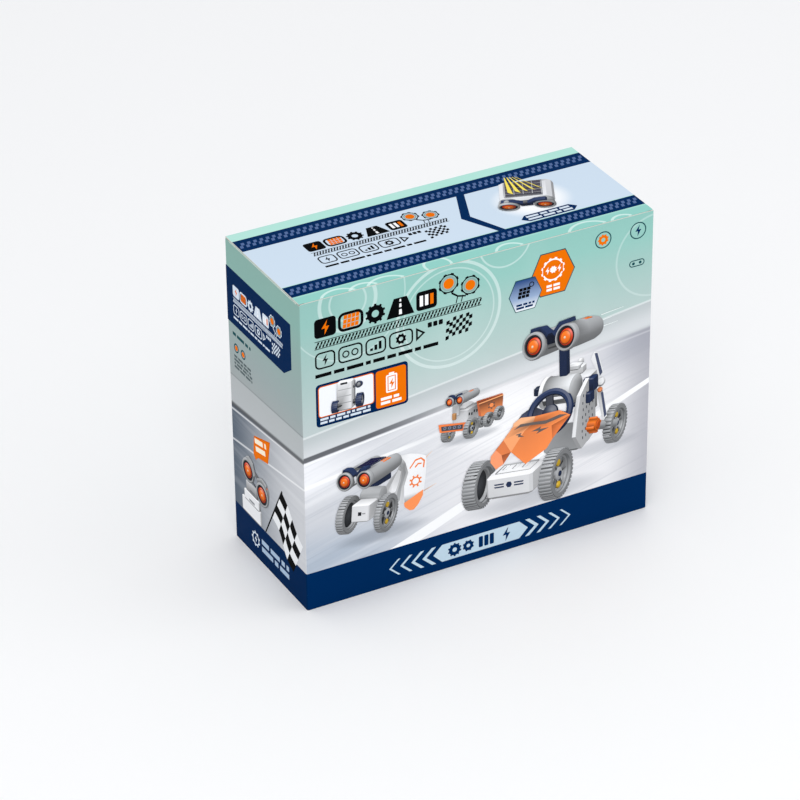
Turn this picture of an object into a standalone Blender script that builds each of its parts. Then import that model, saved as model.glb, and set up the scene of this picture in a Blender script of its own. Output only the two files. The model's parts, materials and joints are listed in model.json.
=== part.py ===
"""A boxed solar robot kit: a tuck-top carton with its card insert, its papers and the pieces packed in it.

Lengths are in millimetres until build_mesh scales them. +X is the carton's width, +Y runs from the front face
to the back face, and +Z is up. The origin is the centre of the carton's footprint.
"""

import math

import bmesh
import bpy
from mathutils import Matrix, Vector

MM = 0.001

# The carton, outside.
WIDTH, DEPTH, HEIGHT = 260.0, 106.0, 229.0
BOARD = 0.8                      # micro-flute board
GAP = 0.3                        # between pieces that lie against each other
MITRE_GAP = 0.2                  # taken off each wall's end at a corner crease
X_OUT, Y_OUT = WIDTH / 2, DEPTH / 2
X_IN, Y_IN = X_OUT - BOARD, Y_OUT - BOARD

# The closure. Each flap lies one board and one gap below the flap that covers it.
LID_TOP = HEIGHT
DUST_TOP = LID_TOP - BOARD - GAP
SIDE_WALL_TOP = DUST_TOP - BOARD - GAP
BACK_WALL_TOP = LID_TOP - BOARD - GAP
FRONT_WALL_TOP = HEIGHT - 0.2
LID_FRONT = -Y_IN + GAP          # the tuck crease, just inside the front wall
LID_SIDE_MARGIN = 0.3
TUCK_LENGTH = 18.0
TUCK_LEAN = 9.0                  # degrees past square, so that the flap swings clear of the front wall
TUCK_CORNER = 9.0                # radius of the tuck flap's corners
TUCK_SIDE_MARGIN, TUCK_SHOULDER = 1.5, 2.0
CREASE_INSET = 0.1               # between a flap and the hinge line on its wall's outer face
DUST_LENGTH = 44.0
DUST_FRONT = -48.5               # y of the front end of each dust flap
DUST_BACK = 47.0                 # y where the slanted back edge starts
DUST_SLANT = 28.0                # how far the back edge runs forward over the flap's length
DUST_FRONT_SLANT = 5.0

# The bottom closure: two main flaps outside, two side flaps over them.
BOTTOM_JOINT = 2.0               # y of the line where the main flaps meet
BOTTOM_TONGUE = (34.0, 22.0, 9.0)   # half width at the root, half width at the tip, length
BOTTOM_SIDE_LENGTH, BOTTOM_SIDE_SLANT = 62.0, 22.0
FLOOR = 2 * BOARD + 2 * GAP      # top of the closed bottom

GLUE_TAB_WIDTH = 15.0
GLUE_TAB_ENDS = (6.0, 8.0)       # how far the glue tab stops short of the bottom and of the top

# The insert: an open tray near the top of the carton, carried on two card risers.
CARD = 1.5
TRAY_X, TRAY_FRONT, TRAY_BACK = 127.5, -51.0, 45.5
TRAY_BOTTOM, TRAY_RIM = 153.5, 209.0
TRAY_FLOOR = TRAY_BOTTOM + CARD
REST = TRAY_FLOOR + GAP          # lowest point of a piece lying in the tray
DIVIDER_LEFT_X, DIVIDER_RIGHT_X = -38.0, 52.0
PLATFORM_TOP, PLATFORM_BACK = 175.0, 16.0
RISER_X, RISER_FLANGE = 112.0, 12.0
DIVIDER_DROP = 4.0               # the dividers stop this far below the rim

# The papers stand between the tray and the back wall.
PAPER_CLEARANCE, PAPER_SHEET = 1.0, 0.5
BOOKLET_SIZE, BOOKLET_X = (148.0, 210.0, 3.2), 26.0   # width, height and thickness, and x of the spine
LABEL_SHEET = (36.0, 126.0, 180.0, 3.0)               # left, right, height and corner cut

# Wheels, standing in a row on their treads.
WHEEL_RADIUS, WHEEL_WIDTH = 27.0, 19.0
WHEEL_PITCH, FIRST_WHEEL_X, WHEEL_Y = 21.0, -114.5, -21.0
WHEEL_SEGMENTS = 20

# The twin-lens head that carries the solar cells. Its tubes run along X, lenses towards -X.
HEAD_FRONT, HEAD_LENGTH = -34.0, 74.0
TUBE_RADIUS, TUBE_SPREAD, HEAD_Y = 15.5, 17.0, -17.0
HEAD_Z = PLATFORM_TOP + GAP + TUBE_RADIUS
HEAD_SEGMENTS = 20
SOLAR_SIZE = (46.0, 34.0, 2.3)

# The drive unit.
CASE_LOW, CASE_HIGH = (61.0, -39.0), (117.0, -9.0)   # x and y of opposite corners
CASE_HEIGHT, CASE_WALL, CASE_SPLIT = 35.0, 1.6, -24.0
MODULE = 0.8
PINION_TEETH, GEAR_TEETH = 14, 35
BACKLASH, CENTRE_SLACK = 0.3, 0.15
MOTOR_X, DRIVE_Z = 75.0, REST + CASE_HEIGHT / 2
GEAR_X = MOTOR_X + MODULE * (PINION_TEETH + GEAR_TEETH) / 2 + CENTRE_SLACK
GEAR_FACE = (-17.5, -12.0)       # y range of both gears
AXLE_RADIUS, AXLE_CLEARANCE = 2.0, 0.25
OUTPUT_AXLE_LENGTH = 49.0
SHAFT_RADIUS, SHAFT_BORE = 0.8, 1.0
SPARE_MODULE = 1.25

# The battery box, with its door hinged along the back of the top.
BATTERY_LOW, BATTERY_HIGH = (60.0, 6.0), (118.0, 40.0)
BATTERY_HEIGHT, BATTERY_WALL, DOOR_THICKNESS = 17.0, 1.5, 1.6
SWITCH_SIZE, SWITCH_TRAVEL = (6.0, 4.0, 3.0), 4.0
CONTACT_SIZE = (0.5, 28.0, 12.0)

COLOURS = {                      # base colour, roughness, metallic
    "carton_print": ((0.56, 0.78, 0.73), 0.35, 0.0),
    "carton_lid": ((0.76, 0.85, 0.92), 0.35, 0.0),
    "carton_board": ((0.80, 0.79, 0.75), 0.85, 0.0),
    "kraft_card": ((0.55, 0.40, 0.25), 0.90, 0.0),
    "paper": ((0.90, 0.91, 0.92), 0.60, 0.0),
    "white_plastic": ((0.86, 0.87, 0.88), 0.42, 0.0),
    "grey_plastic": ((0.42, 0.42, 0.43), 0.45, 0.0),
    "navy_plastic": ((0.03, 0.06, 0.13), 0.38, 0.0),
    "orange_plastic": ((0.90, 0.27, 0.04), 0.35, 0.0),
    "orange_lens": ((0.93, 0.22, 0.05), 0.12, 0.0),
    "black_plastic": ((0.02, 0.02, 0.022), 0.40, 0.0),
    "yellow_plastic": ((0.92, 0.62, 0.08), 0.40, 0.0),
    "solar_cell": ((0.015, 0.02, 0.07), 0.15, 0.0),
    "steel": ((0.60, 0.61, 0.63), 0.28, 1.0),
}


# Building blocks ------------------------------------------------------------------------------------------


def material(slot):
    """The Principled material of a colour slot, made the first time it is asked for."""
    made = bpy.data.materials.get(slot)
    if made:
        return made
    colour, roughness, metallic = COLOURS[slot]
    made = bpy.data.materials.new(slot)
    made.use_nodes = True
    shader = made.node_tree.nodes["Principled BSDF"]
    shader.inputs["Base Color"].default_value = (*colour, 1.0)
    shader.inputs["Roughness"].default_value = roughness
    shader.inputs["Metallic"].default_value = metallic
    return made


def build_mesh(name, bm, slot, origin=(0, 0, 0), smooth=False):
    """Turns a closed bmesh in millimetres into an object whose origin is the given point."""
    bmesh.ops.recalc_face_normals(bm, faces=bm.faces)
    bmesh.ops.transform(bm, matrix=Matrix.Scale(MM, 4) @ Matrix.Translation(-Vector(origin)), verts=bm.verts)
    mesh = bpy.data.meshes.new(name)
    bm.to_mesh(mesh)
    bm.free()
    if smooth:
        mesh.shade_smooth()
        mesh.set_sharp_from_angle(angle=math.radians(35))
    mesh.materials.append(material(slot))
    piece = bpy.data.objects.new(name, mesh)
    piece.location = Vector(origin) * MM
    bpy.context.scene.collection.objects.link(piece)
    return piece


def attach(piece, parent):
    """Parents a piece without moving it. The parent isn't rotated yet."""
    piece.location = piece.location - parent.location
    piece.parent = parent


def xy(u, v, w):
    return Vector((u, v, w))


def xz(u, v, w):
    return Vector((u, w, v))


def yz(u, v, w):
    return Vector((w, u, v))


def prism_mesh(outline, low, high, plane=xy):
    """A closed outline in a plane, extruded from low to high along the plane's normal."""
    bm = bmesh.new()
    base = bm.faces.new([bm.verts.new(plane(u, v, low)) for u, v in outline])
    new = bmesh.ops.extrude_face_region(bm, geom=[base])["geom"]
    step = plane(0, 0, high) - plane(0, 0, low)
    bmesh.ops.translate(bm, vec=step, verts=[g for g in new if isinstance(g, bmesh.types.BMVert)])
    return bm


def prism(name, outline, low, high, slot, plane=xy, origin=(0, 0, 0)):
    return build_mesh(name, prism_mesh(outline, low, high, plane), slot, origin)


def rectangle(u0, v0, u1, v1):
    return [(u0, v0), (u1, v0), (u1, v1), (u0, v1)]


def box(name, low, high, slot, origin=(0, 0, 0)):
    return prism(name, rectangle(low[0], low[1], high[0], high[1]), low[2], high[2], slot, xy, origin)


def ring_points(radius, count, start=0.0):
    turn = 2 * math.pi / count
    return [(radius * math.cos(start + turn * i), radius * math.sin(start + turn * i)) for i in range(count)]


def turned_mesh(profile, segments, centre, axis="X"):
    """A closed profile of (radius, position along the axis) turned about a line through centre."""
    place = {"X": yz, "Y": xz, "Z": xy}[axis]
    bm = bmesh.new()
    rings = []
    for radius, along in profile:
        count = 1 if radius == 0 else segments
        spots = [Vector(centre) + place(u, v, along) for u, v in ring_points(radius, count)]
        rings.append([bm.verts.new(spot) for spot in spots])
    closed = profile[0][0] > 0
    pairs = zip(rings, rings[1:] + rings[:1]) if closed else zip(rings, rings[1:])
    for near, far in pairs:
        for i in range(segments):
            j = (i + 1) % segments
            corners = [near[i % len(near)], near[j % len(near)], far[j % len(far)], far[i % len(far)]]
            bm.faces.new(list(dict.fromkeys(corners)))
    return bm


def turned(name, profile, segments, centre, slot, axis="X", origin=(0, 0, 0)):
    return build_mesh(name, turned_mesh(profile, segments, centre, axis), slot, origin, smooth=True)


def cut(piece, cutter):
    """Cuts one closed object out of another with an exact Boolean."""
    cutter.hide_render = True
    cutter.display_type = "WIRE"
    modifier = piece.modifiers.new("cut_" + cutter.name, "BOOLEAN")
    modifier.operation = "DIFFERENCE"
    modifier.object = cutter


def join(piece, other):
    """Makes one body of two overlapping closed objects."""
    other.hide_render = True
    other.display_type = "WIRE"
    modifier = piece.modifiers.new("join_" + other.name, "BOOLEAN")
    modifier.operation = "UNION"
    modifier.object = other


def bore(piece, name, centre, radius, half_length, axis="Y"):
    """Drills a round hole through a piece."""
    profile = [(0, -half_length), (radius, -half_length), (radius, half_length), (0, half_length)]
    cut(piece, turned(name, profile, 12, centre, "steel", axis))


def open_box_mesh(low, high, wall, axis, side):
    """A box with one face missing. The open face is on the given side (0 low, 1 high) of the axis."""
    outer = [list(low), list(high)]
    inner = [[c + wall for c in low], [c - wall for c in high]]
    inner[side][axis] = outer[side][axis]
    bm = bmesh.new()
    corners = {}
    for shell, bounds in enumerate((outer, inner)):
        for i in (0, 1):
            for j in (0, 1):
                for k in (0, 1):
                    point = (bounds[i][0], bounds[j][1], bounds[k][2])
                    corners[shell, i, j, k] = bm.verts.new(point)
    for face_axis in range(3):
        u, v = [a for a in range(3) if a != face_axis]
        for end in (0, 1):
            loop = []
            for a, b in ((0, 0), (1, 0), (1, 1), (0, 1)):
                index = [0, 0, 0]
                index[face_axis], index[u], index[v] = end, a, b
                loop.append(tuple(index))
            if face_axis == axis and end == side:
                for first, second in zip(loop, loop[1:] + loop[:1]):
                    bm.faces.new([corners[(0, *first)], corners[(0, *second)],
                                  corners[(1, *second)], corners[(1, *first)]])
            else:
                bm.faces.new([corners[(0, *index)] for index in loop])
                bm.faces.new([corners[(1, *index)] for index in loop])
    return bm


# The carton -----------------------------------------------------------------------------------------------


def wall_outline(half_length, outer, inner):
    """Plan of a wall with 45 degree ends, as (along, across) points from its outer to its inner face."""
    out_end = half_length - MITRE_GAP
    in_end = half_length - BOARD - MITRE_GAP
    return [(-out_end, outer), (out_end, outer), (in_end, inner), (-in_end, inner)]


def carton_walls():
    front = wall_outline(X_OUT, -Y_OUT, -Y_IN)
    back = wall_outline(X_OUT, Y_OUT, Y_IN)
    left = [(across, along) for along, across in wall_outline(Y_OUT, -X_OUT, -X_IN)]
    right = [(across, along) for along, across in wall_outline(Y_OUT, X_OUT, X_IN)]
    prism("front_panel", front, 0, FRONT_WALL_TOP, "carton_print")
    prism("back_panel", back, 0, BACK_WALL_TOP, "carton_print")
    prism("left_panel", left, 0, SIDE_WALL_TOP, "carton_print")
    prism("right_panel", right, 0, SIDE_WALL_TOP, "carton_print")
    low = (-X_IN + GAP, Y_IN - GAP - GLUE_TAB_WIDTH, GLUE_TAB_ENDS[0])
    high = (-X_IN + GAP + BOARD, Y_IN - GAP, HEIGHT - GLUE_TAB_ENDS[1])
    box("glue_tab", low, high, "carton_board")


def lid():
    hinge = (0, Y_OUT, LID_TOP)
    half = X_OUT - LID_SIDE_MARGIN
    low, high = (-half, LID_FRONT, LID_TOP - BOARD), (half, Y_OUT - CREASE_INSET, LID_TOP)
    panel = box("lid_panel", low, high, "carton_lid", hinge)
    # The tuck flap is drawn flat in the lid's plane, then folded about its own origin.
    crease = (0, LID_FRONT, LID_TOP)
    root, tip = LID_FRONT - BOARD - GAP, LID_FRONT - TUCK_LENGTH
    half = X_IN - TUCK_SIDE_MARGIN
    left_corner = []
    for step in range(5):
        angle = math.radians(180 + 90 * step / 4)
        u = -half + TUCK_CORNER * (1 + math.cos(angle))
        v = tip + TUCK_CORNER * (1 + math.sin(angle))
        left_corner.append((u, v))
    right_corner = [(-u, v) for u, v in reversed(left_corner)]
    shoulder = half - TUCK_SHOULDER
    outline = [(-shoulder, root), *left_corner, *right_corner, (shoulder, root)]
    tuck = prism("lid_tuck_flap", outline, LID_TOP - BOARD, LID_TOP, "carton_lid", xy, crease)
    attach(tuck, panel)
    tuck.rotation_euler.x = math.radians(90 + TUCK_LEAN)


def dust_flap(name, side):
    """A flap along the top of a side wall. side is -1 on the left and 1 on the right."""
    root, tip = X_OUT - CREASE_INSET, X_OUT - DUST_LENGTH
    outline = [(side * root, DUST_FRONT), (side * tip, DUST_FRONT + DUST_FRONT_SLANT),
               (side * tip, DUST_BACK - DUST_SLANT), (side * root, DUST_BACK)]
    prism(name, outline, DUST_TOP - BOARD, DUST_TOP, "carton_board", xy, (side * X_OUT, 0, DUST_TOP))


def bottom_closure():
    half = X_IN - GAP
    root, tip, length = BOTTOM_TONGUE
    edge = Y_IN - GAP
    end = BOTTOM_JOINT + length
    tongue = [(-root, BOTTOM_JOINT), (-tip, end), (tip, end), (root, BOTTOM_JOINT)]
    front = [(-half, -edge), (-half, BOTTOM_JOINT), *tongue, (half, BOTTOM_JOINT), (half, -edge)]
    notch = [(u + math.copysign(GAP, u), v + GAP) for u, v in tongue]
    back = [(-half, edge), (-half, BOTTOM_JOINT + GAP), *notch, (half, BOTTOM_JOINT + GAP), (half, edge)]
    prism("bottom_flap_front", front, 0, BOARD, "carton_print")
    prism("bottom_flap_back", back, 0, BOARD, "carton_print")
    low = BOARD + GAP
    for name, side in (("bottom_flap_left", -1), ("bottom_flap_right", 1)):
        tip_x, tip_y = half - BOTTOM_SIDE_LENGTH, edge - BOTTOM_SIDE_SLANT
        outline = [(side * half, -edge), (side * tip_x, -tip_y), (side * tip_x, tip_y), (side * half, edge)]
        prism(name, outline, low, low + BOARD, "carton_board")


# The insert and the papers --------------------------------------------------------------------------------


def insert():
    tray = open_box_mesh((-TRAY_X, TRAY_FRONT, TRAY_BOTTOM), (TRAY_X, TRAY_BACK, TRAY_RIM), CARD, 2, 1)
    build_mesh("parts_tray", tray, "kraft_card")
    front, back = TRAY_FRONT + CARD + GAP, TRAY_BACK - CARD - GAP
    for name, x in (("tray_divider_left", DIVIDER_LEFT_X), ("tray_divider_right", DIVIDER_RIGHT_X)):
        box(name, (x - CARD / 2, front, REST), (x + CARD / 2, back, TRAY_RIM - DIVIDER_DROP), "kraft_card")
    low = (DIVIDER_LEFT_X + CARD / 2 + GAP, front, REST)
    high = (DIVIDER_RIGHT_X - CARD / 2 - GAP, PLATFORM_BACK, PLATFORM_TOP)
    build_mesh("tray_platform", open_box_mesh(low, high, CARD, 2, 0), "kraft_card")
    low, high = TRAY_FRONT + 1, TRAY_BACK - 1
    inner, outer = RISER_X + CARD, RISER_X + RISER_FLANGE
    fold = [(RISER_X, low), (outer, low), (outer, low + CARD), (inner, low + CARD), (inner, high),
            (RISER_X, high)]
    for name, side in (("tray_riser_left", -1), ("tray_riser_right", 1)):
        prism(name, [(side * u, v) for u, v in fold], FLOOR, TRAY_BOTTOM - GAP, "kraft_card")


def papers():
    """The instruction booklet and the label sheet stand behind the tray."""
    back = Y_IN - PAPER_CLEARANCE
    width, height, pages = BOOKLET_SIZE
    left = BOOKLET_X - width
    booklet = [(left, back), (left, back - pages), (left + 1, back - pages - 0.3),
               (BOOKLET_X - 2, back - pages), (BOOKLET_X, back - pages / 2), (BOOKLET_X - 2, back)]
    prism("instruction_booklet", booklet, FLOOR, FLOOR + height, "paper")
    left, right, height, corner = LABEL_SHEET
    top = FLOOR + height
    label = [(left, FLOOR), (right - corner, FLOOR), (right, FLOOR + corner), (right, top - corner),
             (right - corner, top), (left, top)]
    prism("label_sheet", label, back - PAPER_SHEET, back, "paper", xz)


def grid_plate(name, columns, rows, holes, low, high, slot):
    """A plate in the XZ plane with rectangular holes, made from grid lines. holes are (column, row) cells."""
    bm = bmesh.new()
    verts = {}

    def vert(i, j, y):
        if (i, j, y) not in verts:
            verts[i, j, y] = bm.verts.new((columns[i], y, rows[j]))
        return verts[i, j, y]

    solid = {(i, j) for i in range(len(columns) - 1) for j in range(len(rows) - 1)} - set(holes)
    for i, j in sorted(solid):
        corners = ((i, j), (i + 1, j), (i + 1, j + 1), (i, j + 1))
        for y in (low, high):
            bm.faces.new([vert(a, b, y) for a, b in corners])
        neighbours = ((i, j - 1), (i + 1, j), (i, j + 1), (i - 1, j))
        for k, beside in enumerate(neighbours):
            if beside not in solid:
                a, b = corners[k], corners[(k + 1) % 4]
                bm.faces.new([vert(*a, low), vert(*b, low), vert(*b, high), vert(*a, high)])
    return build_mesh(name, bm, slot)


def sprues():
    """Three moulded runner frames of small pieces stand below the tray."""
    bar, window, thickness = 8.0, 24.0, 3.0
    for name, y, across, up, slot in (("sprue_white", -34.0, 6, 4, "white_plastic"),
                                      ("sprue_grey", -8.0, 6, 4, "grey_plastic"),
                                      ("sprue_navy", 18.0, 6, 4, "navy_plastic")):
        width = across * (bar + window) + bar
        columns = [-width / 2 + (i // 2) * (bar + window) + (i % 2) * bar for i in range(2 * across + 2)]
        rows = [FLOOR + (i // 2) * (bar + window) + (i % 2) * bar for i in range(2 * up + 2)]
        filled = {(2 * i + 1, 2 * j + 1) for i in range(across) for j in range(up) if (i + 2 * j) % 5 == 0}
        holes = {(2 * i + 1, 2 * j + 1) for i in range(across) for j in range(up)} - filled
        grid_plate(name, columns, rows, holes, y, y + thickness, slot)


# The kit's pieces -----------------------------------------------------------------------------------------


def wheel(number):
    x = FIRST_WHEEL_X + WHEEL_PITCH * (number - 1)
    half, web, hub, hole = WHEEL_WIDTH / 2, 2.0, 6.0, AXLE_RADIUS + AXLE_CLEARANCE
    rim, well = WHEEL_RADIUS - 5, WHEEL_RADIUS - 6
    centre = (x, WHEEL_Y, REST + WHEEL_RADIUS)
    profile = [(WHEEL_RADIUS - 1, -half), (WHEEL_RADIUS, -half + 1), (WHEEL_RADIUS, half - 1),
               (WHEEL_RADIUS - 1, half), (rim, half), (well, web), (hub, web), (hub, half - 5),
               (hole, half - 5), (hole, -half + 3), (hub, -half + 3), (hub, -web), (well, -web), (rim, -half)]
    turned(f"wheel_{number}", profile, WHEEL_SEGMENTS, centre, "grey_plastic")
    cap = [(u + centre[1], v + centre[2]) for u, v in ring_points(5.4, 6)]
    prism(f"hub_cap_{number}", cap, x + half - 5 + GAP, x + half - 0.5, "orange_plastic", yz)


def head():
    """The head's shell is two tapering tubes joined by a bridge, with a round recess for each lens."""
    rear = HEAD_FRONT + HEAD_LENGTH
    recess = 9.0
    tubes = []
    for name, side in (("head_shell", -1), ("head_tube_guide", 1)):
        centre = (0, HEAD_Y + side * TUBE_SPREAD, HEAD_Z)
        profile = [(0, HEAD_FRONT + recess), (12.5, HEAD_FRONT + recess), (13.2, HEAD_FRONT),
                   (TUBE_RADIUS - 0.6, HEAD_FRONT), (TUBE_RADIUS, HEAD_FRONT + 1.5), (TUBE_RADIUS, rear - 26),
                   (TUBE_RADIUS - 3.5, rear - 1), (TUBE_RADIUS - 5, rear), (0, rear)]
        tubes.append(turned(name, profile, HEAD_SEGMENTS, centre, "grey_plastic"))
    bridge = [(-6, -12), (6, -12), (9, 6), (9, 14.9), (-9, 14.9), (-9, 6)]
    outline = [(HEAD_Y + u, HEAD_Z + v) for u, v in bridge]
    middle = prism("head_bridge_guide", outline, HEAD_FRONT + recess + 1, rear - 12, "grey_plastic", yz)
    join(tubes[0], tubes[1])
    join(tubes[0], middle)
    for name, side in (("left", -1), ("right", 1)):
        centre = (HEAD_FRONT, HEAD_Y + side * TUBE_SPREAD, HEAD_Z)
        ring = [(12.2, recess - GAP), (9.6, recess - GAP), (9.6, 3.0), (10.4, 1.0), (12.2, 1.0)]
        turned(f"lens_bezel_{name}", ring, HEAD_SEGMENTS, centre, "black_plastic")
        dome = [(0, 3.4), (4.5, 3.8), (7.6, 5.2), (9.2, 7.4), (9.2, recess - GAP), (0, recess - GAP)]
        turned(f"lens_{name}", dome, HEAD_SEGMENTS, centre, "orange_lens")
    top, half_width = HEAD_Z + TUBE_RADIUS, SOLAR_SIZE[1] / 2
    low = (HEAD_FRONT + 14, HEAD_Y - half_width, top + GAP)
    high = (low[0] + SOLAR_SIZE[0], HEAD_Y + half_width, top + GAP + SOLAR_SIZE[2])
    box("solar_panel", low, high, "solar_cell")
    # The visor is one bent strip over both lenses, with a raised ear above each.
    lower = [(-30.0, 9.0), (-24.0, 14.9), (-17.0, 16.3), (-7.0, 16.3), (0.0, 16.3), (7.0, 16.3), (17.0, 16.3),
             (24.0, 14.9), (30.0, 9.0)]
    upper = [(31.4, 10.8), (25.5, 17.6), (20.0, 20.2), (12.0, 20.2), (4.5, 18.4), (-4.5, 18.4), (-12.0, 20.2),
             (-20.0, 20.2), (-25.5, 17.6), (-31.4, 10.8)]
    visor = [(HEAD_Y + u, HEAD_Z + v) for u, v in lower + upper]
    prism("head_visor", visor, HEAD_FRONT + 0.5, HEAD_FRONT + 13.5, "navy_plastic", yz)
    box("neck_post", (-30, 19, REST), (32, 28, REST + 9), "navy_plastic")


def involute(angle):
    return math.tan(angle) - angle


def gear_outline(teeth, module, backlash):
    """Involute teeth at a 20 degree pressure angle, a little short and thin so that a pair runs freely."""
    pressure = math.radians(20)
    pitch = teeth * module / 2
    base, tip, root = pitch * math.cos(pressure), pitch + 0.8 * module, pitch - 1.15 * module
    half = math.pi / (2 * teeth) - backlash / (4 * pitch)
    start = max(base, root) * 1.001
    flank = []
    for radius in (start, tip):
        flank.append((radius, half + involute(pressure) - involute(math.acos(base / radius))))
    root_half = min(flank[0][1] * 1.05, math.pi / teeth * 0.8)
    points = []
    for tooth in range(teeth):
        centre = 2 * math.pi * tooth / teeth
        polar = [(root, -root_half), *[(r, -a) for r, a in flank], *[(r, a) for r, a in reversed(flank)],
                 (root, root_half)]
        points += [(r * math.cos(centre + a), r * math.sin(centre + a)) for r, a in polar]
    return points


def gear(name, teeth, x, z, face, slot, hole, origin=None, module=MODULE):
    outline = [(x + u, z + v) for u, v in gear_outline(teeth, module, BACKLASH)]
    centre = (x, (face[0] + face[1]) / 2, z)
    made = prism(name, outline, face[0], face[1], slot, xz, origin or centre)
    bore(made, name + "_bore", centre, hole, face[1] - face[0])
    return made


def drive_unit():
    """Motor, pinion, drive gear and output axle in a case of two halves."""
    top = REST + CASE_HEIGHT
    halves = (("gearbox_case_front", CASE_LOW[1], CASE_SPLIT - GAP / 2, 1),
              ("gearbox_case_back", CASE_SPLIT + GAP / 2, CASE_HIGH[1], 0))
    for name, front, back, side in halves:
        shell = open_box_mesh((CASE_LOW[0], front, REST), (CASE_HIGH[0], back, top), CASE_WALL, 1, side)
        half = build_mesh(name, shell, "white_plastic")
        bore(half, name + "_bore", (GEAR_X, (front + back) / 2, DRIVE_Z), AXLE_RADIUS + AXLE_CLEARANCE, 12)
    motor = [(0, -18), (9.2, -18), (10, -17), (10, -0.6), (9.2, 0), (0, 0)]
    turned("motor", motor, 24, (MOTOR_X, GEAR_FACE[0] - 1.5, DRIVE_Z), "steel", "Y")
    pinion_centre = (MOTOR_X, sum(GEAR_FACE) / 2, DRIVE_Z)
    gear("motor_pinion", PINION_TEETH, MOTOR_X, DRIVE_Z, GEAR_FACE, "yellow_plastic", SHAFT_BORE)
    shaft = [(0, -3.9), (SHAFT_RADIUS, -3.9), (SHAFT_RADIUS, 2.6), (0, 2.6)]
    turned("motor_shaft", shaft, 10, pinion_centre, "steel", "Y", pinion_centre)
    axle_centre = (GEAR_X, CASE_SPLIT, DRIVE_Z)
    gear("drive_gear", GEAR_TEETH, GEAR_X, DRIVE_Z, GEAR_FACE, "orange_plastic", AXLE_RADIUS + AXLE_CLEARANCE,
         (GEAR_X, CASE_SPLIT, DRIVE_Z))
    end, chamfer = OUTPUT_AXLE_LENGTH / 2, 0.4
    axle = [(0, -end), (AXLE_RADIUS - chamfer, -end), (AXLE_RADIUS, -end + chamfer),
            (AXLE_RADIUS, end - chamfer), (AXLE_RADIUS - chamfer, end), (0, end)]
    turned("output_axle", axle, 16, axle_centre, "steel", "Y", axle_centre)


def battery_box():
    low, high = (*BATTERY_LOW, REST), (*BATTERY_HIGH, REST + BATTERY_HEIGHT)
    holder = build_mesh("battery_box", open_box_mesh(low, high, BATTERY_WALL, 2, 1), "white_plastic")
    seat = high[2] + GAP
    hinge = (0, BATTERY_HIGH[1], seat)
    box("battery_door", (BATTERY_LOW[0], BATTERY_LOW[1], seat), (BATTERY_HIGH[0], BATTERY_HIGH[1] - 0.2,
        seat + DOOR_THICKNESS), "grey_plastic", hinge)
    thickness, width, height = CONTACT_SIZE
    middle = (BATTERY_LOW[1] + BATTERY_HIGH[1]) / 2
    base = REST + BATTERY_WALL + GAP
    inset = BATTERY_WALL + GAP
    for name, x in (("battery_contact_left", BATTERY_LOW[0] + inset),
                    ("battery_contact_right", BATTERY_HIGH[0] - inset - thickness)):
        box(name, (x, middle - width / 2, base), (x + thickness, middle + width / 2, base + height), "steel")
    # The switch passes through a slot in the front wall, which is longer than it by its travel.
    length, depth, height = SWITCH_SIZE
    front, inner = BATTERY_LOW[1] - 1.2, BATTERY_LOW[1] - 1.2 + depth
    start, base = BATTERY_LOW[0] + 14, REST + 7
    slot_low = (start - GAP, BATTERY_LOW[1] - 1, base - GAP)
    slot_high = (start + length + SWITCH_TRAVEL + GAP, BATTERY_LOW[1] + BATTERY_WALL + 1, base + height + GAP)
    cut(holder, box("power_switch_slot", slot_low, slot_high, "white_plastic"))
    centre = (start + length / 2, BATTERY_LOW[1], base + height / 2)
    box("power_switch", (start, front, base), (start + length, inner, base + height), "black_plastic", centre)


def steering_wheel():
    """A rim with three spokes and a hub, standing with its axis along Y."""
    radius, rim_radius, hub_radius, hub_half = 22.0, 2.8, 6.0, 3.2
    spoke_half_width, spoke_half_depth = 2.3, 1.6
    centre = (-65.0, 31.5, REST + radius + rim_radius + 0.2)
    rim = [(radius + u, v) for u, v in ring_points(rim_radius, 8)]
    made = turned("steering_wheel", rim, 32, centre, "navy_plastic", "Y")
    hub = [(0, -hub_half), (hub_radius, -hub_half), (hub_radius, hub_half), (0, hub_half)]
    join(made, turned("steering_hub_guide", hub, 12, centre, "navy_plastic", "Y"))
    middle = Vector((centre[0], centre[2]))
    for spoke, degrees in enumerate((90, 210, 330)):
        angle = math.radians(degrees)
        along = Vector((math.cos(angle), math.sin(angle)))
        across = Vector((-math.sin(angle), math.cos(angle))) * spoke_half_width
        inner, outer = middle + along * hub_radius / 2, middle + along * (radius - 1)
        corners = [inner - across, outer - across, outer + across, inner + across]
        low, high = centre[1] - spoke_half_depth, centre[1] + spoke_half_depth
        join(made, prism(f"steering_spoke_guide_{spoke}", corners, low, high, "navy_plastic", xz))


def hood_panel():
    """The vehicle hood: a faceted sheet with a raised centre line, standing on its long side."""
    thickness, ridge, flank = 2.2, 31.0, 40.0
    low, high = REST, REST + 51
    middle = (low + high) / 2
    points = {
        "nose": (-32, ridge + 4, middle),
        "nose_low": (-26, flank - 1, low + 13),
        "nose_high": (-26, flank - 1, high - 13),
        "waist_low": (12, flank, low),
        "waist_high": (12, flank, high),
        "crown": (8, ridge, middle),
        "tail": (44, ridge + 5, middle),
        "tail_low": (44, flank, low + 12),
        "tail_high": (44, flank, high - 12),
    }
    bm = bmesh.new()
    front = {key: bm.verts.new(point) for key, point in points.items()}
    back = {key: bm.verts.new((x, y + thickness, z)) for key, (x, y, z) in points.items()}
    edge = ("nose", "nose_low", "waist_low", "tail_low", "tail", "tail_high", "waist_high", "nose_high")
    for first, second in zip(edge, edge[1:] + edge[:1]):
        bm.faces.new([front[first], front[second], front["crown"]])
        bm.faces.new([back[first], back[second], back["crown"]])
        bm.faces.new([front[first], front[second], back[second], back[first]])
    build_mesh("hood_panel", bm, "orange_plastic")


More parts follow.
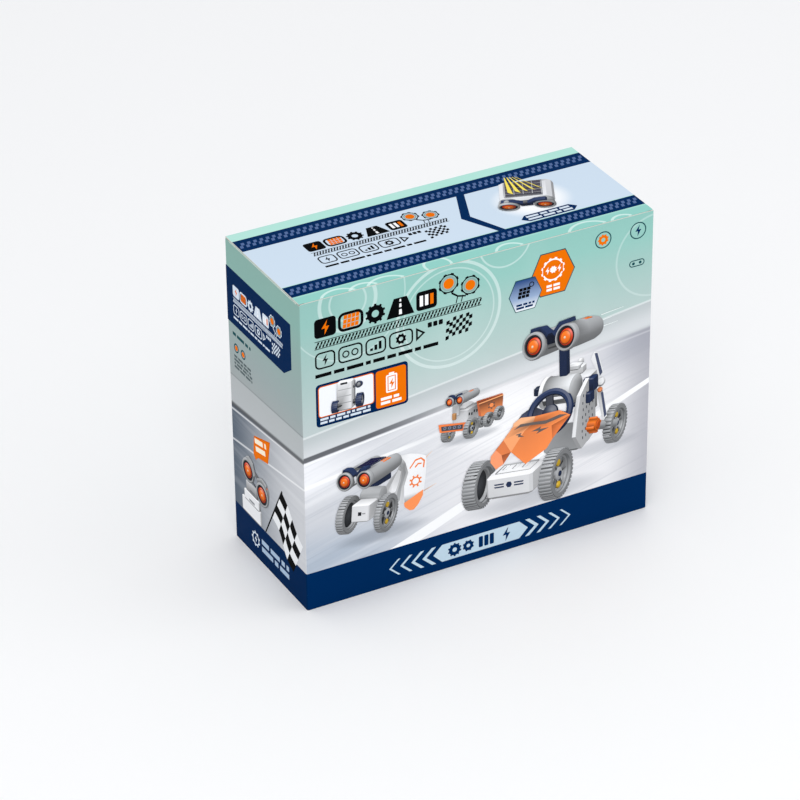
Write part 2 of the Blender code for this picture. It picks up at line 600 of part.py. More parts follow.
def body_plates():
    """Two side plates of the robot's body, with a row of peg holes, standing at the back of the tray."""
    left, right, low, high = -124.0, -44.0, REST, REST + 52.0
    thickness, foot_cut, top_cut = 3.0, 14.0, 20.0
    outline = [(left, low), (right - foot_cut, low), (right, low + foot_cut), (right, high),
               (left + top_cut, high), (left, high - top_cut)]
    for name, y in (("body_plate_left", 40.4), ("body_plate_right", 36.4)):
        plate = prism(name, outline, y, y + thickness, "white_plastic", xz)
        for hole in range(4):
            centre = (left + 16 * (hole + 1), y + thickness / 2, low + 18)
            bore(plate, f"{name}_hole_{hole}", centre, 2.3, thickness)


def loose_gears_and_axles():
    hole = AXLE_RADIUS + AXLE_CLEARANCE
    gear("gear_large", 24, -108.8, REST + 16.3, (28.0, 34.0), "orange_plastic", hole, module=SPARE_MODULE)
    gear("gear_small", 14, -110.0, REST + 10.1, (21.0, 27.0), "yellow_plastic", hole, module=SPARE_MODULE)
    for number, y in ((1, 12.0), (2, 17.0)):
        rod = [(0, -40), (AXLE_RADIUS, -40), (AXLE_RADIUS, 40), (0, 40)]
        turned(f"axle_rod_{number}", rod, 12, (-83.0, y, REST + AXLE_RADIUS), "steel")


def main():
    for existing in list(bpy.data.objects):
        bpy.data.objects.remove(existing)
    carton_walls()
    lid()
    dust_flap("dust_flap_left", -1)
    dust_flap("dust_flap_right", 1)
    bottom_closure()
    insert()
    papers()
    sprues()
    for number in range(1, 5):
        wheel(number)
    head()
    drive_unit()
    battery_box()
    steering_wheel()
    hood_panel()
    body_plates()
    loose_gears_and_axles()


main()
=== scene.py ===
"""The looks of the boxed solar robot kit: printed carton, card insert, papers and moulded pieces.

Lengths are in millimetres and become metres where a mesh is made. A face of the carton has its own u (to the
right) and v (up), both from its lower left corner as seen from outside.
"""
import json
import math

import bmesh
import bpy
import numpy as np
from mathutils import Matrix, Vector, geometry
from mathutils.bvhtree import BVHTree

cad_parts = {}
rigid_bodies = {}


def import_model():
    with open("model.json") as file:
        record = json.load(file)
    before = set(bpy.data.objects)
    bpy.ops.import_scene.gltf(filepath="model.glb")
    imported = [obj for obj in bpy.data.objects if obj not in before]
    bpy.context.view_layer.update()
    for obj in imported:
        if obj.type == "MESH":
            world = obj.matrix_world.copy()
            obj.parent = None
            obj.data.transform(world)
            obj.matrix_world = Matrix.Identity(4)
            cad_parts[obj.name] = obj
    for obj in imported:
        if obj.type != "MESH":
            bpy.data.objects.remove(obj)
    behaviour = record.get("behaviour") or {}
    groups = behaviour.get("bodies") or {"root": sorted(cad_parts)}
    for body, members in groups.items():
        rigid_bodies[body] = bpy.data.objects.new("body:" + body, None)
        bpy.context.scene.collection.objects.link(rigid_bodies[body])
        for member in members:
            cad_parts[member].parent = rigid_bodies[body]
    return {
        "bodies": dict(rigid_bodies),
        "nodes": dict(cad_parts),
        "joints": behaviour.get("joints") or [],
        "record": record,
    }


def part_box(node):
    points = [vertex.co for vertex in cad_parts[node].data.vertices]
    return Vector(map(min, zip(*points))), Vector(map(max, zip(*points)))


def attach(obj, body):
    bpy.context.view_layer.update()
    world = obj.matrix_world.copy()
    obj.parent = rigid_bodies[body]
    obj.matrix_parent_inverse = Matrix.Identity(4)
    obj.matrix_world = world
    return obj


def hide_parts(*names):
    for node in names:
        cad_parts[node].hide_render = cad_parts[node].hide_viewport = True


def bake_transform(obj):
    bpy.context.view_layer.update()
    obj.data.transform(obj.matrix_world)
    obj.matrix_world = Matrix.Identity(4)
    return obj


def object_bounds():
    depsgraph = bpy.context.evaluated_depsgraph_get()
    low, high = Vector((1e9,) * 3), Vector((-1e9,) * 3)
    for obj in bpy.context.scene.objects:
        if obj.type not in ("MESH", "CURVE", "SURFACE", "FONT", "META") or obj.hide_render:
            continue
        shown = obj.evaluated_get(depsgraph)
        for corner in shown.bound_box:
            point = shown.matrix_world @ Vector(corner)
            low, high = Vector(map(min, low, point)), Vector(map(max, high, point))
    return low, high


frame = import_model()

MM = 0.001
cad_low, cad_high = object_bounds()
WIDTH, DEPTH, HEIGHT = [(high - low) / MM for low, high in zip(cad_low, cad_high)]
pivots = {joint["name"]: joint.get("pos_m") for joint in frame["record"]["behaviour"]["joints"]}
BOARD = 0.8                         # thickness of the carton's board
CREASE = 1.2                        # outer radius of a folded edge
CREASE_STEPS = 4                    # facets of a bent edge or strip
CREASE_INSET = 0.1                  # a bent strip lies this far inside the boards that it joins
BAND_TOP = 28.2                     # top of the dark band round the foot of the carton
BAND_MIDDLE = 12.8                  # middle of the pointed plate on that band
STREAK_SLOPE = 0.26                 # slope of the streaks of speed

INK_STEP = 0.04                     # height of one layer of ink
INK_ROOT = -0.01                    # the level of an inked area's underside
PICTURE_ROOT, PICTURE_RELIEF = 0.06, 0.5    # a pressed picture's lowest point and its height above that

BACK_COLUMNS = (9.0, 92.0, 175.0)   # left edges of the back's windows
BACK_ROWS = (35.5, 100.5)           # and their lower edges
WINDOW_WIDE, WINDOW_HIGH = 76, 58
FLOOR_LEVEL = -0.3                  # just clear of the ink on the bottom
VARNISH_SPECULAR = 0.005            # kept low, so that the pale room lays no grey haze over the print

X, Y, Z = Vector((1, 0, 0)), Vector((0, 1, 0)), Vector((0, 0, 1))
FACES = {                   # lower left corner, direction of u, direction of v, outward normal
    "front": (Vector((-WIDTH, -DEPTH, 0)) / 2, X, Z, -Y),
    "right": (Vector((WIDTH, -DEPTH, 0)) / 2, Y, Z, X),
    "back": (Vector((WIDTH, DEPTH, 0)) / 2, -X, Z, Y),
    "left": (Vector((-WIDTH, DEPTH, 0)) / 2, -Y, Z, -X),
    "top": (Vector((-WIDTH / 2, -DEPTH / 2, HEIGHT)), X, Y, Z),
    "bottom": (Vector((-WIDTH / 2, DEPTH / 2, 0)), X, -Y, -Z),
}


def box_of(node):
    """The two corners of a CAD node's box, in millimetres."""
    low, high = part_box(node)
    return low / MM, high / MM


def middle_of(node):
    """The middle of a CAD node, and its size, in millimetres."""
    low, high = box_of(node)
    return (low + high) / 2, high - low


head_places = [middle_of(f"lens_{side}")[0] for side in ("left", "right")]
HEAD_MIDDLE = (head_places[0] + head_places[1]) / 2
HEAD_SPREAD = abs(head_places[0].y - head_places[1].y) / 2


def srgb(red, green, blue):
    """A display colour from 0 to 255 as linear values."""
    values = []
    for value in (red, green, blue):
        value /= 255
        values.append(value / 12.92 if value <= 0.04045 else ((value + 0.055) / 1.055) ** 2.4)
    return tuple(values)


NAVY = srgb(0, 41, 88)
DEEP_NAVY = srgb(0, 36, 78)
ORANGE = srgb(236, 114, 6)
BLACK = srgb(8, 10, 12)
WHITE = srgb(250, 251, 252)
PLATE = srgb(192, 214, 228)
PANEL_BLUE = srgb(207, 223, 238)
CHECK_BLUE = srgb(86, 110, 156)
TEAL = srgb(30, 78, 84)
PALE = srgb(214, 226, 238)
GREY = srgb(150, 152, 153)
YELLOW = srgb(250, 206, 60)


# Materials ------------------------------------------------------------------------------------------------


class Value:
    """A number in a material's node tree. Arithmetic on it adds nodes."""

    def __init__(self, tree, socket):
        self.tree = tree
        self.socket = socket

    def apply(self, operation, *others):
        """The result of a Math node's operation on this and other values."""
        node = self.tree.nodes.new("ShaderNodeMath")
        node.operation = operation
        for socket, item in zip(node.inputs, (self, *others)):
            feed(self.tree, socket, item)
        return Value(self.tree, node.outputs[0])

    def __add__(self, other):
        return self.apply("ADD", other)

    def __sub__(self, other):
        return self.apply("SUBTRACT", other)

    def __mul__(self, other):
        return self.apply("MULTIPLY", other)

    def __truediv__(self, other):
        return self.apply("DIVIDE", other)

    def size(self):
        """The value without its sign."""
        return self.apply("ABSOLUTE")

    def wave(self, pitch):
        """A sine wave from -1 to 1 that repeats every pitch."""
        return (self * (2 * math.pi / pitch)).apply("SINE")

    def rise(self, low, high):
        """0 up to low, 1 from high on, with a smooth step between. low may be above high."""
        node = self.tree.nodes.new("ShaderNodeMapRange")
        node.interpolation_type = "SMOOTHSTEP"
        feed(self.tree, node.inputs["Value"], self)
        node.inputs["From Min"].default_value = low
        node.inputs["From Max"].default_value = high
        return Value(self.tree, node.outputs["Result"])

    def ramp(self, stops):
        """A colour that follows (position, colour) stops. Positions run from the first stop to the last."""
        first, last = stops[0][0], stops[-1][0]
        node = self.tree.nodes.new("ShaderNodeValToRGB")
        feed(self.tree, node.inputs["Fac"], (self - first) * (1 / (last - first)))
        ramp = node.color_ramp
        while len(ramp.elements) < len(stops):
            ramp.elements.new(0.5)
        for element, (position, colour) in zip(ramp.elements, stops):
            element.position = (position - first) / (last - first)
            element.color = (*colour, 1)
        return Value(self.tree, node.outputs["Color"])


def feed(tree, socket, item):
    """Links a Value to a socket, or sets the socket to a plain number or colour."""
    if isinstance(item, Value):
        tree.links.new(item.socket, socket)
    elif isinstance(item, tuple):
        socket.default_value = (*item, 1) if len(item) == 3 and len(socket.default_value) == 4 else item
    else:
        socket.default_value = item


class Paint:
    """A Principled material being made. Plain settings are set on the shader's own sockets."""

    def __init__(self, name, colour=(0.8, 0.8, 0.8), roughness=0.5, **settings):
        self.material = bpy.data.materials.new(name)
        self.material.use_nodes = True
        self.tree = self.material.node_tree
        self.shader = self.tree.nodes["Principled BSDF"]
        self.set("Base Color", colour)
        self.set("Roughness", roughness)
        for key, value in settings.items():
            self.set(key.replace("_", " ").title(), value)

    def set(self, socket, item):
        """Feeds one of the shader's sockets."""
        feed(self.tree, self.shader.inputs[socket], item)

    def add(self, kind, **inputs):
        """A new node, with its named inputs fed."""
        node = self.tree.nodes.new("ShaderNode" + kind)
        for key, item in inputs.items():
            feed(self.tree, node.inputs[key], item)
        return node

    def position(self):
        """x, y and z of the object's coordinates, in millimetres."""
        scale = self.add("VectorMath")
        scale.operation = "SCALE"
        self.tree.links.new(self.add("TexCoord").outputs["Object"], scale.inputs[0])
        scale.inputs["Scale"].default_value = 1 / MM
        split = self.add("SeparateXYZ")
        self.tree.links.new(scale.outputs[0], split.inputs[0])
        return [Value(self.tree, out) for out in split.outputs]

    def on_face(self, face):
        """u and v of the carton's face."""
        origin, along, up, _ = FACES[face]
        parts = self.position()
        found = []
        for direction in (along, up):
            axis = max(range(3), key=lambda i: abs(direction[i]))
            found.append((parts[axis] - origin[axis]) * direction[axis])
        return found

    def noise(self, size, detail, stretch=(1, 1, 1), turn=(0, 0, 0)):
        """Noise from 0 to 1 with features about size across, stretched along each axis."""
        mapping = self.add("Mapping")
        mapping.vector_type = "TEXTURE"
        mapping.inputs["Rotation"].default_value = turn
        mapping.inputs["Scale"].default_value = [size * s * MM for s in stretch]
        self.tree.links.new(self.add("TexCoord").outputs["Object"], mapping.inputs["Vector"])
        node = self.add("TexNoise", Scale=1.0, Detail=detail)
        self.tree.links.new(mapping.outputs["Vector"], node.inputs["Vector"])
        return Value(self.tree, node.outputs["Fac"])

    def mix(self, factor, first, second):
        """The first colour where factor is 0 and the second where it is 1."""
        node = self.add("Mix")
        node.data_type = "RGBA"
        sockets = (node.inputs["Factor"], node.inputs[6], node.inputs[7])   # 6 and 7 are the colours A and B
        for socket, item in zip(sockets, (factor, first, second)):
            feed(self.tree, socket, item)
        return Value(self.tree, node.outputs[2])

    def bump(self, *layers):
        """Adds (height, depth in millimetres) layers of relief."""
        below = None
        for height, depth in layers:
            node = self.add("Bump", Height=height, Distance=depth * MM)
            if below:
                self.tree.links.new(below.outputs[0], node.inputs["Normal"])
            below = node
        self.tree.links.new(below.outputs[0], self.shader.inputs["Normal"])
        return self


def varnished(paint, colour):
    """Gloss varnish over offset print: faint fibre, slow waves in the board, a little uneven gloss."""
    paint.set("Base Color", colour)
    paint.set("Specular IOR Level", VARNISH_SPECULAR)
    paint.set("Roughness", paint.noise(9, 3) * 0.12 + 0.38)
    paint.bump((paint.noise(70, 1), 0.5), (paint.noise(0.35, 2), 0.004))
    return paint.material


inks = {}


def ink(colour):
    """A solid printing ink, made once for each colour."""
    key = tuple(round(c, 4) for c in colour)
    if key not in inks:
        inks[key] = varnished(Paint(f"ink_{len(inks)}"), colour)
    return inks[key]


def fading_ink():
    """The dark blue ink of the small hexagon, which fades towards its foot."""
    paint = Paint("fading_ink")
    _, v = paint.on_face("front")
    stops = [(181, srgb(236, 241, 246)), (190, srgb(150, 172, 204)), (203, srgb(48, 78, 132))]
    return varnished(paint, v.ramp(stops))


def crease_ink():
    """The print where it runs over a fold."""
    paint = Paint("crease_ink")
    return varnished(paint, paint.mix(paint.noise(30, 2), srgb(172, 228, 216), srgb(158, 218, 206)))


def streaks(paint, colour, strength=1.0):
    """Soft streaks of speed, lighter and darker than the colour."""
    turn = (0, -math.atan(STREAK_SLOPE), 0)
    fine = paint.noise(1.6, 2, (60, 60, 1), turn)
    broad = paint.noise(7, 2, (30, 30, 1), turn)
    lighter = paint.mix((broad - 0.5) * (1.3 * strength), colour, srgb(250, 251, 253))
    return paint.mix((fine - 0.52) * (0.9 * strength), lighter, srgb(150, 158, 170))


def line(u, v, start, slope, half_width, soft):
    """1 on a straight line that passes (0, start), fading over soft."""
    return (v - (u * slope + start)).size().rise(half_width + soft, half_width)


def squared(across, up):
    """The squared distance from the point where across and up are 0."""
    return across * across + up * up


def ring(u, v, centre, radius, half_width):
    """1 on a circle's line, fading over 0.4."""
    distance = squared(u - centre[0], v - centre[1]).apply("SQRT")
    return (distance - radius).size().rise(half_width + 0.4, half_width)


def spot(u, v, centre, wide, high, core=0):
    """An oval spot: 1 in its core and 0 from its edge on."""
    return squared((u - centre[0]) / wide, (v - centre[1]) / high).rise(1, core)


def banded(paint, v, colour, band):
    """Finishes a print that has the dark band at its foot."""
    return varnished(paint, paint.mix(v.rise(BAND_TOP + 0.05, BAND_TOP - 0.05), colour, band))


def front_print():
    """A pale green wall above a road in perspective, with white lines, streaks and soft shadows."""
    paint = Paint("front_print")
    u, v = paint.on_face("front")
    sky = v.ramp([(112, srgb(214, 220, 223)), (135, srgb(200, 209, 210)), (160, srgb(183, 204, 201)),
                  (190, srgb(166, 200, 194)), (212, srgb(150, 200, 191)), (229, srgb(146, 197, 188))])
    sky = paint.mix(u.rise(90, 0) * 0.25, sky, srgb(150, 178, 176))
    rings = (((106.7, 193), 37.5, 0.9, 0.45), ((106.7, 193), 33, 0.3, 0.35), ((34, 222), 20, 1.1, 0.4),
             ((34, 222), 13, 0.5, 0.35), ((34, 222), 41, 0.3, 0.3), ((262, 196), 30, 0.5, 0.25),
             ((148, 236), 19, 0.4, 0.4))
    for centre, radius, half, strength in rings:
        sky = paint.mix(ring(u, v, centre, radius, half) * strength, sky, srgb(232, 245, 243))
    shade = (paint.noise(45, 1, (1, 1, 2)) - 0.5) * 0.5
    sky = paint.mix(shade.apply("MAXIMUM", 0), sky, srgb(214, 236, 232))
    wall_edge = v - (u * 0.12 + 131)
    wall = paint.mix(wall_edge.rise(-16, 0), srgb(214, 218, 221), srgb(190, 198, 200))
    sky = paint.mix(wall_edge.rise(0.5, -0.5), sky, wall)
    sky = paint.mix(line(u, v, 131, 0.12, 0.3, 0.9) * 0.5, sky, srgb(240, 244, 245))
    road = paint.mix(u.rise(20, 150), srgb(207, 210, 216), srgb(234, 234, 237))
    road = paint.mix(v.rise(70, 34) * u.rise(110, 20), road, srgb(176, 187, 201))
    road = paint.mix((v - u * 0.15).rise(68, 95) * u.rise(190, 252) * 0.75, road, srgb(168, 172, 184))
    road = paint.mix((v - u * 0.13).rise(72, 96) * u.rise(66, 0) * 0.85, road, srgb(247, 248, 252))
    road = paint.mix(spot(u, v, (150, 104), 56, 30) * 0.8, road, srgb(253, 253, 254))
    road = streaks(paint, road)
    road = paint.mix(u.rise(222, 262) * 0.74, road, srgb(160, 161, 171))
    road = paint.mix(line(u, v, 93.5, 0.13, 0.9, 1.4) * u.rise(110, 60), road, WHITE)
    lane = (v - ((u - 66.7) * 0.39 + 25.8)).size() - (u * -0.012 + 4.8)
    road = paint.mix(lane.rise(0.8, 0), road, WHITE)
    rail = v - (u * 0.107 + 114.5)
    colour = paint.mix(rail.rise(1.4, -1.4), sky, road)
    fade = u.rise(150, 40)
    colour = paint.mix(rail.size().rise(2.4, 1.4) * (fade * 0.85 + 0.08), colour, srgb(86, 88, 94))
    colour = paint.mix((rail + 3.2).size().rise(0.9, 0.4) * (fade * 0.7 + 0.2), colour, WHITE)
    shadows = (((56, 43), 40, 7, 0.5), ((122, 97), 27, 5, 0.5), ((172, 36), 62, 10, 0.4), ((222, 60), 34, 7, 0.35))
    for centre, wide, high, strength in shadows:
        colour = paint.mix(spot(u, v, centre, wide, high) * strength, colour, srgb(120, 128, 140))
    return banded(paint, v, colour, NAVY)


def side_print(face):
    """The narrow sides. The picture runs on from the front, so it is mirrored between them."""
    paint = Paint(face + "_print")
    u, v = paint.on_face(face)
    if face == "right":
        u = (u - DEPTH) * -1
    # Painted shade: the sky and road here are darker than the front's for the same picture, the shade of a side
    # turned from the light.
    sky = v.ramp([(98, srgb(176, 181, 184)), (125, srgb(166, 172, 173)), (150, srgb(157, 171, 171)),
                  (180, srgb(149, 172, 168)), (212, srgb(139, 178, 169)), (229, srgb(139, 176, 167))])
    wall_edge = v - (u * 0.048 + 127.5)
    sky = paint.mix(wall_edge.rise(0.4, -0.4) * 0.35, sky, srgb(205, 208, 210))
    sky = paint.mix(wall_edge.size().rise(0.9, 0.2) * 0.5, sky, srgb(120, 126, 128))
    road = paint.mix(u.rise(-10, 100), srgb(88, 100, 114), srgb(204, 206, 210))
    road = streaks(paint, road, 0.5)
    for start, slope in ((100.7, 0.105), (77, 0.147)):
        road = paint.mix(line(u, v, start, slope, 0.45, 0.6) * 0.55, road, WHITE)
    rail = v - (u * 0.087 + 104.3)
    colour = paint.mix(rail.rise(1.2, -1.2), sky, road)
    colour = paint.mix(rail.size().rise(3.0, 0.6) * 0.85, colour, srgb(78, 80, 84))
    # The band in DEEP_NAVY, darker than the front's NAVY band, is painted shade as well.
    return banded(paint, v, colour, DEEP_NAVY)


def top_print():
    """Mint with arcs, a pale panel with a glow in it, and two dark bands."""
    paint = Paint("top_print")
    u, v = paint.on_face("top")
    mint = paint.mix(paint.noise(30, 2), srgb(190, 232, 222), srgb(172, 228, 214))
    mint = paint.mix(v.rise(12, 8), mint, srgb(148, 208, 198))
    rings = (((28, -8), 15), ((46, -6), 12), ((62, -10), 17), ((101, 4), 9), ((152, -4), 11), ((210, -9), 17),
             ((236, -4), 9))
    for centre, radius in rings:
        mint = paint.mix(ring(u, v, centre, radius, 0.7) * 0.6, mint, srgb(232, 250, 246))
    panel = paint.mix(spot(u, v, (198, 52.5), 30, 26, 0.15), PANEL_BLUE, srgb(253, 254, 255))
    band = paint.mix((v - 53).size().rise(27.65, 27.75), panel, mint)
    for low, high in ((10.7, 24.7), (80.2, 95.6)):
        middle, half = (low + high) / 2, (high - low) / 2
        band = paint.mix((v - middle).size().rise(half + 0.05, half - 0.05), band, NAVY)
    return varnished(paint, band)


def back_print():
    """A pale green wall with arcs and streaks."""
    paint = Paint("back_print")
    u, v = paint.on_face("back")
    sky = v.ramp([(28, srgb(222, 230, 236)), (100, srgb(208, 226, 226)), (170, srgb(184, 216, 210)),
                  (229, srgb(152, 204, 194))])
    for centre, radius in (((40, 215), 26), ((40, 215), 19), ((214, 130), 44), ((214, 130), 38)):
        sky = paint.mix(ring(u, v, centre, radius, 0.7) * 0.35, sky, srgb(236, 246, 245))
    return banded(paint, v, streaks(paint, sky), NAVY)


def raw_colour(paint):
    """The colour of unprinted board: grey-white, with flecks and fibres."""
    base = paint.mix(paint.noise(14, 3), srgb(205, 202, 194), srgb(222, 220, 213))
    fibres = paint.noise(0.5, 2, (8, 1, 1), (0.4, 0.3, 0.7)).rise(0.66, 0.74)
    return paint.mix(fibres * 0.5, base, srgb(160, 152, 138))


def raw_board():
    """The unprinted side of the board."""
    paint = Paint("raw_board", roughness=0.9)
    paint.set("Base Color", raw_colour(paint))
    return paint.bump((paint.noise(60, 1), 0.4), (paint.noise(0.4, 3), 0.02)).material


board = raw_board()
folded_ink = crease_ink()


# Shapes ---------------------------------------------------------------------------------------------------


def finish_piece(name, bm, materials, body, slot, replaces=(), smooth=None):
    """Turns a bmesh in millimetres into a piece that rides on a body."""
    bmesh.ops.transform(bm, matrix=Matrix.Scale(MM, 4), verts=bm.verts)
    mesh = bpy.data.meshes.new(name)
    bm.to_mesh(mesh)
    bm.free()
    if smooth is not None:
        mesh.shade_smooth()
        mesh.set_sharp_from_angle(angle=math.radians(smooth))
    for material in materials:
        mesh.materials.append(material)
    piece = bpy.data.objects.new(name, mesh)
    bpy.context.scene.collection.objects.link(piece)
    if body:
        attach(piece, body)
    if replaces:
        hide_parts(*replaces)
    return piece


def sweep(bm, sections, printed):
    """Bridges equal closed loops of points and caps the two ends.

    printed lists the loop's edges that take material 0, and the rest takes material 1.
    """
    rings = [[bm.verts.new(point) for point in section] for section in sections]
    count = len(rings[0])
    for near, far in zip(rings, rings[1:]):
        for i in range(count):
            j = (i + 1) % count
            face = bm.faces.new((near[i], near[j], far[j], far[i]))
            face.material_index = 0 if i in printed else 1
    for cap in (rings[0], rings[-1]):
        bm.faces.new(cap).material_index = 1
    bmesh.ops.recalc_face_normals(bm, faces=bm.faces)


def arc(centre, radius, start, end, steps):
    """Points on an arc, in degrees, both ends included."""
    turns = [math.radians(start + (end - start) * i / steps) for i in range(steps + 1)]
    return [(centre[0] + radius * math.cos(t), centre[1] + radius * math.sin(t)) for t in turns]


def folded_section(first, last, level):
    """A board's outline from first to last, its outer side at level and half a crease at each end.

    Also gives the numbers of the outline's edges that are printed.
    """
    start, end = (first + CREASE, level - CREASE), (last - CREASE, level - CREASE)
    outer = arc(start, CREASE, 135, 90, CREASE_STEPS) + arc(end, CREASE, 90, 45, CREASE_STEPS)
    inner = arc(end, CREASE - BOARD, 45, 90, 2) + arc(start, CREASE - BOARD, 90, 135, 2)
    return outer + inner, range(len(outer) - 1)


def wall(face, length, levels, material):
    """A wall with half a rounded crease at each end. levels are (v, how far the wall leans in there)."""
    section, printed = folded_section(0, length, 0)
    origin, along, up, out = FACES[face]
    bm = bmesh.new()
    sweep(bm, [[origin + along * s + up * v + out * (n - lean) for s, n in section] for v, lean in levels], printed)
    node = face + "_panel"
    finish_piece(node + "_print", bm, [material, board], "carton", "carton_print", [node], 35)


def crease(name, joint, out, ends, slot, steps=CREASE_STEPS):
    """A strip of board that joins two boards at a hinge line, in a fixed bend between them.

    It runs inside both boards, from the upright one to the level one, so it shows only where they part. out
    points away from the carton, and ends are the strip's ends along the hinge line. With one step the strip has
    no rows between its two edges, for a fold of more than half a turn.
    """
    hinge = Vector(pivots[joint]) / MM
    along = Vector((abs(out.y), abs(out.x), 0))
    centre = hinge - (out + Z) * CREASE
    outer, inner = CREASE - CREASE_INSET, CREASE - BOARD + CREASE_INSET
    section = arc((0, 0), outer, 0, 90, steps) + arc((0, 0), inner, 90, 0, steps)
    bm = bmesh.new()
    sweep(bm, [[centre + out * a + Z * b + along * end for a, b in section] for end in ends], range(steps))
    strip = finish_piece(name, bm, [folded_ink, board], None, slot)
    half = (out - Z) * inner / 2
    (centre + half) * MM
    (centre - half) * MM
    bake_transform(strip)


class Artwork:
    """Flat inks on one face, gathered into one piece. Each area is a thin closed solid lying on the board."""

    def __init__(self, name, face, body="carton", slot="carton_print"):
        self.name = name
        self.face = face
        self.body = body
        self.slot = slot
        self.bm = bmesh.new()
        self.materials = []
        self.lift = 0
        self.place = lambda u, v: (u, v)

    def at(self, u, v, scale=1.0, turn=0.0, skew=0.0):
        """Later areas are drawn in a frame at (u, v), scaled, sheared and turned by degrees."""
        c, s = math.cos(math.radians(turn)) * scale, math.sin(math.radians(turn)) * scale
        self.place = lambda a, b: (u + c * (a + skew * b) - s * b, v + s * (a + skew * b) + c * b)

    def area(self, outline, colour, layer=1, holes=()):
        """A flat area in a colour or a material. A higher layer lies over a lower one, and lift raises them all."""
        origin, along, up, out = FACES[self.face]
        material = colour if isinstance(colour, bpy.types.Material) else ink(colour)
        if material not in self.materials:
            self.materials.append(material)
        index = self.materials.index(material)
        loops = [[Vector((*self.place(u, v), 0)) for u, v in loop] for loop in (outline, *holes)]
        flat = [point for loop in loops for point in loop]
        triangles = geometry.tessellate_polygon(loops)
        shells = []
        for level, way in (((layer + self.lift) * INK_STEP, 1), (INK_ROOT, -1)):
            points = [self.bm.verts.new(origin + along * p.x + up * p.y + out * level) for p in flat]
            shells.append(points)
            for a, b, c in triangles:
                if (flat[b] - flat[a]).cross(flat[c] - flat[a]).z * way < 0:
                    b, c = c, b
                self.bm.faces.new((points[a], points[b], points[c])).material_index = index
        first = 0
        for loop in loops:
            count = len(loop)
            turn = sum(p.x * q.y - q.x * p.y for p, q in zip(loop, loop[1:] + loop[:1]))
            is_hole = first > 0
            for i in range(count):
                a, b = first + i, first + (i + 1) % count
                corners = (shells[0][a], shells[1][a], shells[1][b], shells[0][b])
                if (turn > 0) == is_hole:
                    corners = corners[::-1]
                self.bm.faces.new(corners).material_index = index
            first += count

    def box(self, u0, v0, u1, v1, colour, layer=1, round_by=0.0, border=0.0):
        """A rectangle, with rounded corners if asked. With a border it is a frame of that width."""
        outline = rounded(u0, v0, u1, v1, round_by)
        holes = []
        if border:
            holes = [rounded(u0 + border, v0 + border, u1 - border, v1 - border, max(round_by - border, 0))]
        self.area(outline, colour, layer, holes)

    def disc(self, u, v, radius, colour, layer=1, hole=0.0, sides=28):
        """A disc, or a ring if it has a hole."""
        holes = [circle(u, v, hole, sides)] if hole else []
        self.area(circle(u, v, radius, sides), colour, layer, holes)

    def gear(self, u, v, radius, teeth, hole, colour, layer=1, depth=0.16, sides=20):
        """A gear symbol with a round hole."""
        self.area(cog(u, v, radius, teeth, depth), colour, layer, [circle(u, v, hole, sides)])

    def slanted(self, u, v, wide, high, lean, colour):
        """A small upright bar, its top moved to the right by lean."""
        self.area([(u, v), (u + wide, v), (u + wide + lean, v + high), (u + lean, v + high)], colour)

    def pointed_plate(self, u, v, half, height, colour):
        """A plate with a point at its left and right ends, centred on (u, v)."""
        point = height / 2
        self.area([(u - half, v), (u - half + point, v - point), (u + half - point, v - point), (u + half, v),
                   (u + half - point, v + point), (u - half + point, v + point)], colour)

    def bars(self, u0, v0, u1, v1, colour, lines, layer, seed):
        """Rows of short bars of random lengths in place of words. A row's spaces are in parts of its pitch."""
        rng = np.random.default_rng(seed)
        pitch = (v1 - v0) / lines
        margin = pitch * 0.18
        for row in range(lines):
            low = v0 + pitch * row + margin
            high = v0 + pitch * (row + 1) - margin
            u = u0
            while u < u1 - pitch * 0.3:
                end = min(u + pitch * rng.uniform(0.7, 3.0), u1)
                self.box(u, low, end, high, colour, layer)
                u = end + pitch * 0.45

    def done(self):
        """Finishes the gathered areas as one piece."""
        finish_piece(self.name, self.bm, self.materials, self.body, self.slot)


def circle(u, v, radius, sides=28):
    """The outline of a circle."""
    turn = 2 * math.pi / sides
    return [(u + radius * math.cos(turn * i), v + radius * math.sin(turn * i)) for i in range(sides)]


def rounded(u0, v0, u1, v1, radius):
    """The outline of a rectangle with rounded corners."""
    if radius <= 0:
        return [(u0, v0), (u1, v0), (u1, v1), (u0, v1)]
    left, low, right, high = u0 + radius, v0 + radius, u1 - radius, v1 - radius
    points = []
    for u, v, start in ((right, low, -90), (right, high, 0), (left, high, 90), (left, low, 180)):
        points += arc((u, v), radius, start, start + 90, 5)
    return points


def cog(u, v, radius, teeth, depth=0.16):
    """The outline of a gear symbol."""
    points = []
    for i in range(teeth):
        for part, reach in ((0.0, 1 - depth), (0.25, 1 - depth), (0.33, 1), (0.67, 1), (0.75, 1 - depth)):
            turn = 2 * math.pi * (i + part) / teeth
            points.append((u + radius * reach * math.cos(turn), v + radius * reach * math.sin(turn)))
    return points


def bolt(u, v, size):
    """The outline of a lightning flash."""
    shape = ((-0.1, -1), (0.55, 0.15), (0.08, 0.15), (0.3, 1), (-0.5, -0.12), (-0.02, -0.12))
    return [(u + a * size, v + b * size) for a, b in shape]


# The printed artwork --------------------------------------------------------------------------------------


